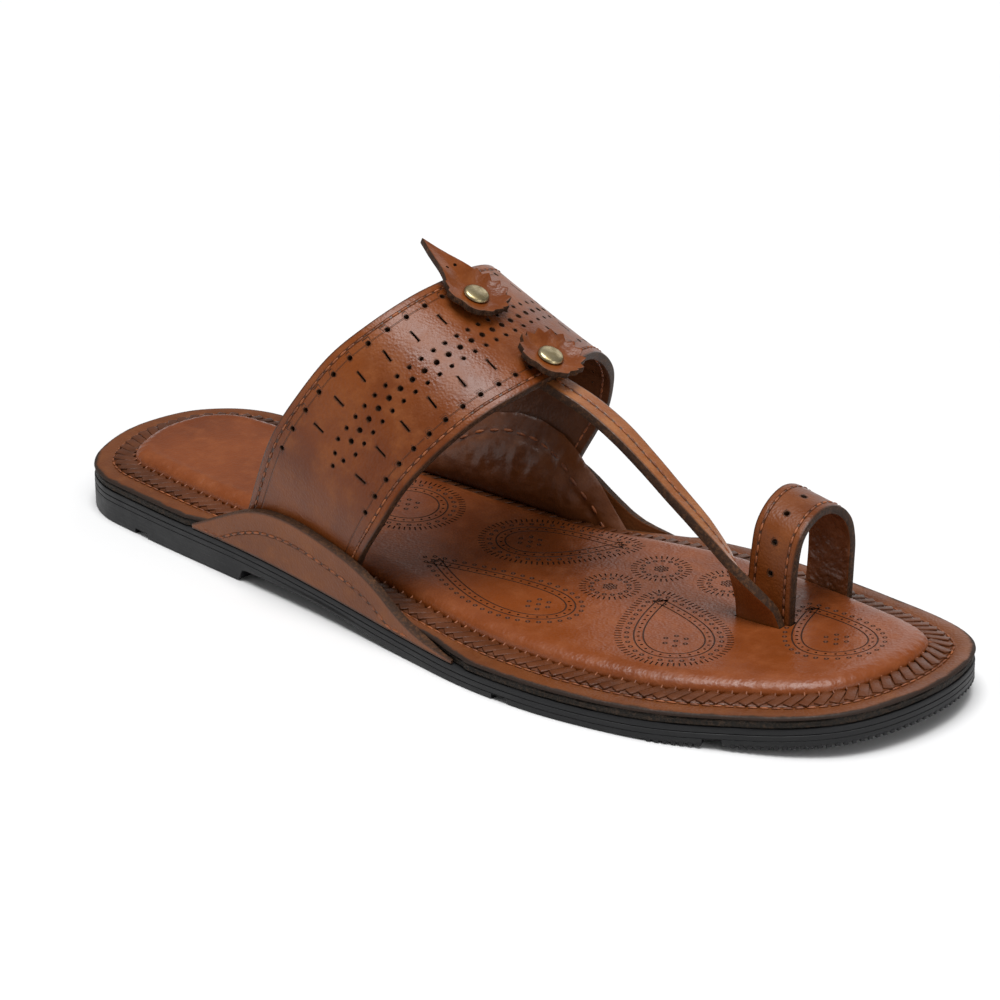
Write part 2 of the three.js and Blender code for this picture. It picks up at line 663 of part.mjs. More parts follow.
piece('rosette_rear', rosette(true), TAN_LEATHER, REAR_PLACE);
piece('rosette_front', rosette(false), TAN_LEATHER, FRONT_PLACE);
piece('rivet_rear', rivet(STRAP_WALL), ANTIQUE_BRASS, REAR_PLACE);
piece('rivet_front', rivet(STRAP_WALL + TOE_STRAP_BELOW_BAND), ANTIQUE_BRASS, FRONT_PLACE);

export default sandal;
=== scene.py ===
"""A kolhapuri sandal for the right foot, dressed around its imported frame.

Sizes are millimetres in the heel frame: x runs from the back of the heel to the toe, y to the big-toe
side and z up from the floor. Meshes are in metres, in the part's own frame.
"""

import logging
import math
from collections.abc import Callable, Iterator, Sequence
from contextlib import contextmanager
from dataclasses import dataclass, field
from enum import Enum

import bpy
import numpy as np
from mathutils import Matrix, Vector


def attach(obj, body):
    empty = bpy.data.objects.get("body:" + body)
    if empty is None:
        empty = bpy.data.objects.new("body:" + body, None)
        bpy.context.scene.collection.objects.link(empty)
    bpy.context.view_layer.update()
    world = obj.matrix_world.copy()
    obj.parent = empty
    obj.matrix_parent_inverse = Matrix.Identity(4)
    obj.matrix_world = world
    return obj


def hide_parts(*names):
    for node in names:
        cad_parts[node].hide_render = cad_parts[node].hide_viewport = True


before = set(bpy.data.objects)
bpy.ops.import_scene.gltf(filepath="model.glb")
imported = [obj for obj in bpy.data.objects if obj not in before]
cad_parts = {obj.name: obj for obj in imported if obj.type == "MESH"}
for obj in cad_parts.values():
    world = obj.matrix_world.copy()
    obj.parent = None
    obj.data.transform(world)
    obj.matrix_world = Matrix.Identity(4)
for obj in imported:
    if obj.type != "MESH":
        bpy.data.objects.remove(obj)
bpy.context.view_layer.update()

log = logging.getLogger("sandal")

MM = 0.001
PART_ORIGIN = np.array([142.5, -1.15, 0.0])
GAP = 0.3
SEED = 7
UP = np.array([0.0, 0.0, 1.0])

Array = np.ndarray
Piece = bpy.types.Object
Material = bpy.types.Material
Socket = bpy.types.NodeSocket
Height = Callable[[Array], Array]
Triple = tuple[float, float, float]
Strip = tuple[float, float, float, float]
Faces = list[tuple[int, ...]]


# ---- numbers and curves ---------------------------------------------------------------------------


def to_part(points: Array) -> Array:
    """Turns heel-frame millimetres into the part's metres."""
    return (np.asarray(points, dtype=float) - PART_ORIGIN) * MM


def smooth_step(value: Array, low: float, high: float) -> Array:
    """Rises smoothly from 0 at low to 1 at high."""
    share = np.clip((np.asarray(value, dtype=float) - low) / (high - low), 0.0, 1.0)
    return share * share * (3.0 - 2.0 * share)


def eased(shares: Array) -> Array:
    """Moves shares from 0 to 1 closer together near both ends."""
    return (1.0 - np.cos(math.pi * shares)) / 2.0


def unit(vectors: Array) -> Array:
    """Scales vectors to length 1."""
    return vectors / np.maximum(np.linalg.norm(vectors, axis=-1, keepdims=True), 1e-9)


def travelled(points: Array) -> Array:
    """Gives the distance along a line of points at each of them."""
    return np.concatenate([[0.0], np.cumsum(np.linalg.norm(np.diff(points, axis=0), axis=1))])


def ahead_round(loop: Array) -> Array:
    """Gives the way ahead at each point of a closed line."""
    return unit(np.roll(loop, -1, axis=0) - np.roll(loop, 1, axis=0))


def evenly(loop: Array, count: int = 0, spacing: float = 1.0) -> Array:
    """Reads a closed line in plan in even steps.

    Args:
        loop: Its points' x and y.
        count: How many steps it gets, or 0 for as many as the spacing asks for.
        spacing: About how long a step is.

    Returns:
        The steps' x and y.
    """
    closed = np.vstack([loop, loop[:1]])
    run = travelled(closed)
    even = np.linspace(0, run[-1], count or int(round(run[-1] / spacing)), endpoint=False)
    return np.column_stack([np.interp(even, run, closed[:, k]) for k in (0, 1)])


def spline(points: Array, places: Array, closed: bool = False) -> Array:
    """Reads a centripetal curve through points.

    Args:
        points: The points that the curve goes through, in rows.
        places: Where to read it, in point numbers.
        closed: Whether the last point leads back to the first.

    Returns:
        One point for each place.
    """
    points = np.asarray(points, dtype=float)
    if closed:
        start = np.floor(places).astype(int)
        knots = [points[(start + k) % len(points)] for k in (-1, 0, 1, 2)]
    else:
        start = np.clip(np.floor(places).astype(int), 0, len(points) - 2)
        longer = np.vstack([2 * points[0] - points[1], points, 2 * points[-1] - points[-2]])
        knots = [longer[start + k] for k in range(4)]
    gaps = [np.linalg.norm(b - a, axis=1, keepdims=True) for a, b in zip(knots, knots[1:])]
    spans = [np.sqrt(np.maximum(gap, 1e-6)) for gap in gaps]

    def slope(k: int) -> Array:
        """Gives the curve's slope at a knot, over the middle span.

        Args:
            k: The knot's number.

        Returns:
            The slope.
        """
        before, here, after = knots[k - 1 : k + 2]
        near, far = spans[k - 1 : k + 1]
        turn = (here - before) / near - (after - before) / (near + far) + (after - here) / far
        return turn * spans[1]

    share = (places - start)[:, None]
    square, cube = share**2, share**3
    return (
        (2 * cube - 3 * square + 1) * knots[1]
        + (cube - 2 * square + share) * slope(1)
        + (3 * square - 2 * cube) * knots[2]
        + (cube - square) * slope(2)
    )


def refined(table: Array, steps: int) -> Array:
    """Reads an open curve through a table's rows, so many steps to each row."""
    return spline(table, np.linspace(0, len(table) - 1, steps * (len(table) - 1) + 1))


def ring_faces(rings: int, count: int, band: bool = True) -> Faces:
    """Joins rings of points by faces.

    Args:
        rings: How many rings there are.
        count: How many points each ring has.
        band: Whether the last ring leads back to the first.

    Returns:
        The faces, as point numbers.
    """
    faces = []
    for r in range(rings if band else rings - 1):
        low, high = r * count, (r + 1) % rings * count
        for i in range(count):
            j = (i + 1) % count
            faces.append((low + i, low + j, high + j, high + i))
    return faces


class Surface:
    """A smooth face held as a fine grid of points, rows along it and columns across it."""

    def __init__(self, grid: Array, outward: int = 1) -> None:
        """Spaces the rows evenly and works out the normals.

        Args:
            grid: Points as rows, columns and three numbers.
            outward: 1 where across x along points out of the leather, or -1.
        """
        middle = travelled(grid[:, grid.shape[1] // 2])
        even = np.linspace(0.0, middle[-1], len(grid))
        self.grid = np.apply_along_axis(lambda values: np.interp(even, middle, values), 0, grid)
        self.length = float(middle[-1])
        self.widths = np.linalg.norm(np.diff(self.grid, axis=1), axis=2).sum(axis=1)
        self.along = unit(np.gradient(self.grid, axis=0))
        across = unit(np.gradient(self.grid, axis=1))
        self.normals = unit(np.cross(across, self.along)) * outward

    def _read(self, values: Array, along: Array, across: Array) -> Array:
        """Reads one of the grids between its rows and columns.

        Args:
            values: The grid.
            along: Shares along the face.
            across: Shares across the face.

        Returns:
            The values there.
        """
        rows, columns = values.shape[0] - 1, values.shape[1] - 1
        i = np.clip(np.asarray(along) * rows, 0, rows - 1e-6)
        j = np.clip(np.asarray(across) * columns, 0, columns - 1e-6)
        low_i, low_j = i.astype(int), j.astype(int)
        s, t = (i - low_i)[..., None], (j - low_j)[..., None]
        near = values[low_i, low_j] * (1 - t) + values[low_i, low_j + 1] * t
        far = values[low_i + 1, low_j] * (1 - t) + values[low_i + 1, low_j + 1] * t
        return near * (1 - s) + far * s

    def points(self, along: Array, across: Array) -> Array:
        """Gives points at shares along and across."""
        return self._read(self.grid, along, across)

    def width(self, along: Array) -> Array:
        """Gives the width across at shares along."""
        return np.interp(along, np.linspace(0, 1, len(self.widths)), self.widths)

    def nearest_row(self, point: Sequence[float]) -> float:
        """Gives the share along of the row whose first point is nearest to a point."""
        distances = np.linalg.norm(self.grid[:, 0] - np.array(point), axis=1)
        return float(np.argmin(distances)) / (len(self.grid) - 1)

    def frames(self, along: Array, across: Array | float = 0.5) -> Array:
        """Gives, for each place, its point and the directions along, across and out.

        Args:
            along: Shares along the face.
            across: Shares across the face.

        Returns:
            An array of places by four vectors: point, along, across, out.
        """
        along, across = np.broadcast_arrays(np.asarray(along, dtype=float), across)
        origin = self.points(along, across)
        out = unit(self._read(self.normals, along, across))
        forward = unit(self._read(self.along, along, across))
        return np.stack([origin, forward, np.cross(out, forward), out], axis=1)

    def from_edge(self, along: Array, distance: float) -> Array:
        """Gives shares across at a distance in from the first edge, or from the last one if negative."""
        share = abs(distance) / self.width(along)
        return share if distance >= 0 else 1.0 - share


# ---- Blender helpers ------------------------------------------------------------------------------


def activate(piece: Piece) -> None:
    """Makes one piece the only selected and active object.

    Args:
        piece: The piece.
    """
    bpy.ops.object.select_all(action="DESELECT")
    piece.select_set(True)
    bpy.context.view_layer.objects.active = piece


def add(primitive: Callable[..., set[str]], **settings: object) -> Piece:
    """Adds a primitive, with nothing else selected.

    Args:
        primitive: The operator that adds it.
        **settings: The operator's settings.

    Returns:
        The new piece.
    """
    bpy.ops.object.select_all(action="DESELECT")
    primitive(**settings)
    return bpy.context.object


@contextmanager
def editing(piece: Piece) -> Iterator[None]:
    """Holds a piece in edit mode, with all of it selected.

    Args:
        piece: The piece.

    Yields:
        Nothing.
    """
    activate(piece)
    bpy.ops.object.mode_set(mode="EDIT")
    bpy.ops.mesh.select_all(action="SELECT")
    yield
    bpy.ops.object.mode_set(mode="OBJECT")


def coordinates(piece: Piece) -> Array:
    """Reads a piece's vertices as rows of three.

    Args:
        piece: The piece.

    Returns:
        The rows.
    """
    values = np.empty(len(piece.data.vertices) * 3)
    piece.data.vertices.foreach_get("co", values)
    return values.reshape(-1, 3)


def move_vertices(piece: Piece, points: Array) -> None:
    """Puts a piece's vertices at new places, given in the heel frame."""
    piece.data.vertices.foreach_set("co", to_part(points).ravel())
    piece.data.update()


def set_attribute(piece: Piece, name: str, values: Array) -> None:
    """Stores one number a vertex for the finishes to read."""
    attribute = piece.data.attributes.new(name, "FLOAT", "POINT")
    attribute.data.foreach_set("value", np.asarray(values, dtype=float))


def new_piece(name: str, points: Array, faces: Faces) -> Piece:
    """Makes a piece from points in the heel frame.

    Args:
        name: The piece's name.
        points: Its vertices, in heel-frame millimetres.
        faces: Its faces, as vertex numbers.

    Returns:
        The new piece.
    """
    mesh = bpy.data.meshes.new(name)
    mesh.from_pydata(to_part(points).tolist(), [], faces)
    piece = bpy.data.objects.new(name, mesh)
    bpy.context.collection.objects.link(piece)
    return piece


def modify(piece: Piece, kind: str, **settings: object) -> None:
    """Adds a modifier to a piece and applies it.

    Args:
        piece: The piece.
        kind: The modifier's type.
        **settings: Its settings.
    """
    activate(piece)
    modifier = piece.modifiers.new(kind.title(), kind)
    for name, value in settings.items():
        setattr(modifier, name, value)
    bpy.ops.object.modifier_apply(modifier=modifier.name)


def round_edges(piece: Piece, width: float, degrees: float = 50.0) -> None:
    """Rounds the edges of a piece that are sharper than an angle, by so many millimetres."""
    angle = math.radians(degrees)
    modify(piece, "BEVEL", width=width * MM, segments=2, limit_method="ANGLE", angle_limit=angle)


def face_out(piece: Piece) -> None:
    """Merges doubled vertices and turns every face of a closed piece outwards.

    Args:
        piece: The piece.
    """
    with editing(piece):
        bpy.ops.mesh.remove_doubles(threshold=1e-6)
        bpy.ops.mesh.normals_make_consistent(inside=False)


def smooth(piece: Piece, degrees: float) -> None:
    """Shades a piece smooth up to an angle."""
    activate(piece)
    bpy.ops.object.shade_smooth_by_angle(angle=math.radians(degrees))


def carve(piece: Piece, cutter: Piece) -> None:
    """Cuts a cutter out of a piece and deletes it; the cut takes the piece's last material.

    Args:
        piece: The piece to cut.
        cutter: The shape to take away.
    """
    before = len(piece.data.polygons)
    cutter.data.materials.clear()
    dress(cutter, piece.data.materials)
    last = len(piece.data.materials) - 1
    cutter.data.polygons.foreach_set("material_index", [last] * len(cutter.data.polygons))
    modify(piece, "BOOLEAN", object=cutter, operation="DIFFERENCE", solver="MANIFOLD")
    if len(piece.data.polygons) == before:
        log.warning("%s: nothing was cut", piece.name)
    bpy.data.objects.remove(cutter, do_unlink=True)


@dataclass(frozen=True)
class Pattern:
    """A small shape that is modelled once and repeated."""

    points: Array
    faces: Faces

    @classmethod
    def taken_from(cls, piece: Piece) -> "Pattern":
        """Takes the shape of a piece at the origin and deletes the piece.

        Args:
            piece: The piece.

        Returns:
            The pattern.
        """
        pattern = cls(coordinates(piece), [tuple(polygon.vertices) for polygon in piece.data.polygons])
        bpy.data.objects.remove(piece, do_unlink=True)
        return pattern

    @classmethod
    def bead(cls, length: float, width: float, height: float) -> "Pattern":
        """Makes a rounded bead, such as one thread stitch.

        Args:
            length: Its length, along the first direction.
            width: Its width.
            height: Its height.

        Returns:
            The bead.
        """
        bead = add(bpy.ops.mesh.primitive_uv_sphere_add, segments=8, ring_count=6, radius=0.5)
        with editing(bead):
            bpy.ops.transform.rotate(value=math.pi / 2, orient_axis="Y", center_override=(0, 0, 0))
            bpy.ops.transform.resize(value=(length, width, height))
        return cls.taken_from(bead)

    @classmethod
    def punch(cls, length: float, width: float, depth: float, sides: int = 12) -> "Pattern":
        """Makes the body of a punch: a cylinder stretched along its first direction.

        Args:
            length: Its size along the first direction.
            width: Its size along the second.
            depth: Its height.
            sides: How many sides it has.

        Returns:
            The punch.
        """
        body = add(bpy.ops.mesh.primitive_cylinder_add, vertices=sides, radius=0.5, depth=depth)
        with editing(body):
            bpy.ops.transform.resize(value=(length, width, 1))
        return cls.taken_from(body)

    @classmethod
    def slab(cls, length: float, width: float, height: float, edge: float) -> "Pattern":
        """Makes a flat strip with rounded edges, such as one thong of the braid.

        Args:
            length: Its length.
            width: Its width.
            height: Its height.
            edge: How far its edges are rounded.

        Returns:
            The strip.
        """
        slab = add(bpy.ops.mesh.primitive_cube_add, size=1)
        with editing(slab):
            bpy.ops.transform.resize(value=(length, width, height))
            bpy.ops.mesh.subdivide(number_cuts=1)
        modify(slab, "BEVEL", width=edge, segments=2, limit_method="ANGLE")
        return cls.taken_from(slab)

    @classmethod
    def tube(cls, path: Array, radius: float, sides: int = 6) -> "Pattern":
        """Makes a closed round tube along a closed, nearly level path.

        Args:
            path: The points of the path.
            radius: The tube's radius.
            sides: How many sides it has.

        Returns:
            The tube.
        """
        ahead = ahead_round(path)
        side = unit(np.cross(ahead, UP))
        lift = np.cross(side, ahead)
        turns = np.linspace(0, 2 * math.pi, sides, endpoint=False)
        rings = [path + radius * (math.cos(turn) * side + math.sin(turn) * lift) for turn in turns]
        return cls(np.vstack(rings), ring_faces(sides, len(path)))

    def driven_in(self, narrow: float, above: float = 0.7) -> "Pattern":
        """Gives a punch driven into leather.

        Args:
            narrow: The share of its width that is left at its lower end.
            above: How far it stands above the leather.

        Returns:
            The punch in its place.
        """
        points = self.points.copy()
        points[:, 2] += above - points[:, 2].max()
        share = points[:, 2:] / points[:, 2].min()
        points[:, :2] *= 1 - (1 - narrow) * np.maximum(share, 0)
        return Pattern(points, self.faces)


AS_MODELLED = np.vstack([np.zeros(3), np.eye(3)])[None]


def repeat(name: str, *jobs: tuple[Pattern, Array]) -> Piece:
    """Joins many copies of small shapes into one piece.

    Args:
        name: The piece's name.
        *jobs: Pairs of a pattern and its places, each place a point and three directions.

    Returns:
        The joined piece.
    """
    points: list[Array] = []
    faces: Faces = []
    start = 0
    for pattern, places in jobs:
        for place in places:
            points.append(place[0] + pattern.points @ place[1:])
            faces.extend(tuple(start + k for k in face) for face in pattern.faces)
            start += len(pattern.points)
    return new_piece(name, np.vstack(points), faces)


def turn_along(places: Array) -> None:
    """Turns places so that each one's first direction follows their line."""
    places[:, 1] = unit(np.gradient(places[:, 0], axis=0))
    places[:, 2] = unit(np.cross(places[:, 3], places[:, 1]))


def loft(name: str, rings: Sequence[Array], worn: Sequence[float] = (), band: bool = False) -> Piece:
    """Makes a closed piece through rings of points in the heel frame, all of one length.

    Args:
        name: The piece's name.
        rings: The rings.
        worn: How much each ring is a worn edge, from 0 to 1.
        band: Whether the last ring leads back to the first, instead of caps on both.

    Returns:
        The piece.
    """
    count = len(rings[0])
    faces = ring_faces(len(rings), count, band)
    for start in () if band else (0, (len(rings) - 1) * count):
        for i in range(count // 2 - 1):
            faces.append((start + i, start + i + 1, start + count - 2 - i, start + count - 1 - i))
    piece = new_piece(name, np.vstack(rings), faces)
    if worn:
        set_attribute(piece, "edge", np.repeat(worn, count))
    face_out(piece)
    return piece


# ---- finishes -------------------------------------------------------------------------------------


class Graph:
    """Writes the nodes of one material."""

    def __init__(self, name: str) -> None:
        """Starts an empty material whose patterns follow the object's own coordinates.

        Args:
            name: The material's name.
        """
        self.material = bpy.data.materials.new(name)
        self.material.use_nodes = True
        self.tree = self.material.node_tree
        self.tree.nodes.clear()
        self.where = self.add("ShaderNodeTexCoord", "Object")

    def add(self, kind: str, output: int | str = 0, settings: dict | None = None, **inputs: object) -> Socket:
        """Adds a node.

        Args:
            kind: The node's type.
            output: Which of its outputs to give back.
            settings: The node's own settings.
            **inputs: Its inputs by name, with _ for a space, as numbers or as other nodes' outputs.

        Returns:
            The chosen output.
        """
        node = self.tree.nodes.new(kind)
        for name, value in (settings or {}).items():
            setattr(node, name, value)
        for name, value in inputs.items():
            self._feed(node.inputs[name.replace("_", " ")], value)
        return node.outputs[output]

    def _feed(self, socket: Socket, value: object) -> None:
        """Links or sets one input; a colour input gets its fourth number.

        Args:
            socket: The input.
            value: Another node's output, or the value itself.
        """
        if isinstance(value, Socket):
            self.tree.links.new(value, socket)
        else:
            socket.default_value = (*value, 1.0) if socket.type == "RGBA" else value

    def sum(self, operation: str, *values: object) -> Socket:
        """Adds a Math node for an operation on its values.

        Args:
            operation: The operation.
            *values: Numbers or other nodes' outputs.

        Returns:
            The result.
        """
        node = self.tree.nodes.new("ShaderNodeMath")
        node.operation = operation
        for socket, value in zip(node.inputs, values):
            self._feed(socket, value)
        return node.outputs[0]

    def mix(self, factor: object, first: object, second: object) -> Socket:
        """Mixes two colours.

        Args:
            factor: The share of the second colour.
            first: The first colour.
            second: The second colour.

        Returns:
            The mix.
        """
        node = self.tree.nodes.new("ShaderNodeMix")
        node.data_type = "RGBA"
        inputs = {socket.identifier: socket for socket in node.inputs}
        for name, value in (("Factor_Float", factor), ("A_Color", first), ("B_Color", second)):
            self._feed(inputs[name], value)
        return next(socket for socket in node.outputs if socket.identifier == "Result_Color")

    def ramp(self, value: Socket, low: float, high: float, first: float = 0.0, last: float = 1.0) -> Socket:
        """Maps a range of values smoothly onto another.

        Args:
            value: The value.
            low: Where the range begins.
            high: Where it ends.
            first: What the beginning becomes.
            last: What the end becomes.

        Returns:
            The mapped value.
        """
        return self.add(
            "ShaderNodeMapRange", 0, {"interpolation_type": "SMOOTHSTEP"},
            Value=value, From_Min=low, From_Max=high, To_Min=first, To_Max=last,
        )

    def noise(self, size: float, detail: float = 2.0, rough: float = 0.55,
              scale: Triple = (1, 1, 1)) -> Socket:
        """Adds noise whose features are about size millimetres, stretched where the scale is small.

        Args:
            size: The features' size.
            detail: How many finer layers it has.
            rough: How strong those are.
            scale: The pattern's scale along x, y and z.

        Returns:
            The noise.
        """
        where = self.where
        if scale != (1, 1, 1):
            where = self.add("ShaderNodeMapping", 0, Vector=where, Scale=scale)
        return self.add("ShaderNodeTexNoise", 0, Vector=where, Scale=1000.0 / size, Detail=detail,
                        Roughness=rough)

    def attribute(self, name: str) -> Socket:
        """Reads a number stored on the mesh, 0 where there is none."""
        return self.add("ShaderNodeAttribute", "Fac", {"attribute_name": name})

    def bump(self, height: Socket, relief: float, under: Socket | None = None) -> Socket:
        """Adds relief of so many millimetres, over another bump if one is given."""
        normal = {"Normal": under} if under else {}
        return self.add("ShaderNodeBump", 0, Height=height, Distance=relief * MM, Strength=1.0, **normal)

    def finish(self, **inputs: object) -> Material:
        """Ends the material with a Principled shader that has these inputs.

        Args:
            **inputs: The shader's inputs, as add takes them.

        Returns:
            The material.
        """
        shader = self.add("ShaderNodeBsdfPrincipled", 0, **inputs)
        out = self.tree.nodes.new("ShaderNodeOutputMaterial")
        self.tree.links.new(shader, out.inputs["Surface"])
        return self.material


class Edge(Enum):
    """Which edge of a sheet a line is measured from."""

    FIRST = "first"
    LAST = "last"


@dataclass(frozen=True)
class Line:
    """A line pressed into a sheet of leather, along one of its edges."""

    edge: Edge
    distance: float
    half_width: float = 0.55
    strength: float = 0.75


@dataclass(frozen=True)
class Leather:
    """Waxed vegetable-tanned leather: clouds of tan, fine grain, creases and darker edges."""

    name: str
    base: Triple = (0.166, 0.041, 0.0066)
    deep: Triple = (0.105, 0.023, 0.0036)
    pale: Triple = (0.222, 0.066, 0.0135)
    edge: Triple = (0.020, 0.010, 0.006)
    roughness: float = 0.38
    shine: float = 0.24
    clouds: float = 38.0
    mottle: float = 7.0
    specks: float = 0.9
    grain: float = 0.75
    grain_relief: float = 0.07
    crease_size: float = 2.6
    crease_relief: float = 0.11
    crease_detail: float = 3.0
    lines: tuple[Line, ...] = ()

    def _press_lines(self, graph: Graph, tone: Socket, relief: Socket) -> tuple[Socket, Socket]:
        """Adds the pressed lines and the dark brink of a sheet to its colour and relief.

        Args:
            graph: The material's nodes.
            tone: The colour so far.
            relief: The relief so far.

        Returns:
            The colour and the relief with the lines in them.
        """
        pressed: Socket | None = None
        for line in self.lines:
            off = graph.sum("SUBTRACT", graph.attribute(line.edge.value), line.distance)
            off = graph.sum("ABSOLUTE", off)
            mask = graph.ramp(off, line.half_width * 0.35, line.half_width, line.strength, 0.0)
            pressed = mask if pressed is None else graph.sum("MAXIMUM", pressed, mask)
        brink = graph.sum("MINIMUM", graph.attribute("first"), graph.attribute("last"))
        tone = graph.mix(graph.ramp(brink, 0.1, 0.9, 0.75, 0.0), tone, self.edge)
        tone = graph.mix(pressed, tone, self.edge)
        return tone, graph.bump(graph.sum("SUBTRACT", 1.0, pressed), 0.30, relief)

    def material(self) -> Material:
        """Writes the material.

        Returns:
            The material.
        """
        graph = Graph(self.name)
        clouds = graph.noise(self.clouds, 3.0, 0.6)
        mottle = graph.noise(self.mottle, 4.0, 0.65)
        specks = graph.noise(self.specks, 2.0, 0.6)
        tone = graph.mix(graph.ramp(clouds, 0.34, 0.66), self.deep, self.base)
        tone = graph.mix(graph.ramp(mottle, 0.42, 0.78, 0.0, 0.55), tone, self.pale)
        tone = graph.mix(graph.ramp(specks, 0.52, 0.85, 0.0, 0.30), tone, self.deep)
        ragged = graph.sum("ADD", graph.attribute("edge"), graph.ramp(mottle, 0.3, 0.7, -0.18, 0.18))
        stain = graph.ramp(ragged, 0.30, 0.75)
        tone = graph.mix(stain, tone, self.edge)
        cells = graph.add(
            "ShaderNodeTexVoronoi", "Distance", {"feature": "SMOOTH_F1"},
            Vector=graph.where, Scale=1000.0 / self.grain, Smoothness=0.6, Randomness=1.0,
        )
        creases = graph.noise(self.crease_size, self.crease_detail, 0.6, (1.0, 0.45, 1.0))
        relief = graph.bump(cells, self.grain_relief, graph.bump(creases, self.crease_relief))
        if self.lines:
            tone, relief = self._press_lines(graph, tone, relief)
        rough = graph.ramp(mottle, 0.3, 0.7, self.roughness - 0.07, self.roughness + 0.08)
        rough = graph.sum("ADD", rough, graph.sum("MULTIPLY", stain, 0.22))
        return graph.finish(Base_Color=tone, Roughness=rough, Normal=relief, Specular_IOR_Level=self.shine)


@dataclass(frozen=True)
class RawEdge:
    """The cut edge of leather: dark, fibrous and layered."""

    name: str = "raw_edge"
    dark: Triple = (0.026, 0.011, 0.005)
    fibre: Triple = (0.105, 0.043, 0.016)
    roughness: float = 0.62
    relief: float = 0.22

    def material(self) -> Material:
        """Writes the material.

        Returns:
            The material.
        """
        graph = Graph(self.name)
        fibres = graph.noise(1.1, 4.0, 0.75)
        tone = graph.mix(graph.ramp(fibres, 0.40, 0.75), self.dark, self.fibre)
        tone = graph.mix(graph.ramp(graph.noise(6.0), 0.35, 0.7, 0.0, 0.6), tone, self.dark)
        relief = graph.bump(fibres, self.relief)
        return graph.finish(Base_Color=tone, Roughness=self.roughness, Normal=relief, Specular_IOR_Level=0.2)


@dataclass(frozen=True)
class Rubber:
    """Moulded black rubber with faint mould lines, dust and scuffs."""

    name: str = "black_rubber"
    black: Triple = (0.0065, 0.0065, 0.0072)
    dust: Triple = (0.017, 0.017, 0.019)
    roughness: float = 0.50

    def material(self) -> Material:
        """Writes the material.

        Returns:
            The material.
        """
        graph = Graph(self.name)
        patches = graph.noise(16.0, 4.0, 0.7)
        lines = graph.noise(1.6, 3.0, 0.6, (0.06, 0.06, 1.0))
        tone = graph.mix(graph.ramp(patches, 0.45, 0.8, 0.0, 0.8), self.black, self.dust)
        tone = graph.mix(graph.ramp(lines, 0.55, 0.75, 0.0, 0.35), tone, self.dust)
        relief = graph.bump(graph.noise(0.6, 2.0, 0.6), 0.03, graph.bump(lines, 0.16))
        rough = graph.ramp(patches, 0.3, 0.7, self.roughness - 0.08, self.roughness + 0.12)
        return graph.finish(Base_Color=tone, Roughness=rough, Normal=relief, Specular_IOR_Level=0.32)


@dataclass(frozen=True)
class Thread:
    """Waxed linen thread, twisted."""

    name: str = "thread"
    light: Triple = (0.26, 0.072, 0.016)
    dark: Triple = (0.115, 0.030, 0.008)

    def material(self) -> Material:
        """Writes the material.

        Returns:
            The material.
        """
        graph = Graph(self.name)
        tone = graph.mix(graph.ramp(graph.noise(5.0, 3.0, 0.7), 0.38, 0.66), self.dark, self.light)
        return graph.finish(Base_Color=tone, Roughness=0.55, Normal=graph.bump(graph.noise(0.35), 0.06))


@dataclass(frozen=True)
class Brass:
    """Antiqued brass, rubbed bright on top and darker in its hollows."""

    name: str = "antique_brass"
    bright: Triple = (0.56, 0.47, 0.29)
    dull: Triple = (0.27, 0.215, 0.11)

    def material(self) -> Material:
        """Writes the material.

        Returns:
            The material.
        """
        graph = Graph(self.name)
        patches = graph.noise(2.2, 4.0, 0.7)
        tone = graph.mix(graph.ramp(patches, 0.35, 0.7), self.dull, self.bright)
        rough = graph.ramp(patches, 0.3, 0.7, 0.42, 0.28)
        scratches = graph.bump(graph.noise(0.4), 0.012)
        return graph.finish(Base_Color=tone, Metallic=1.0, Roughness=rough, Normal=scratches)


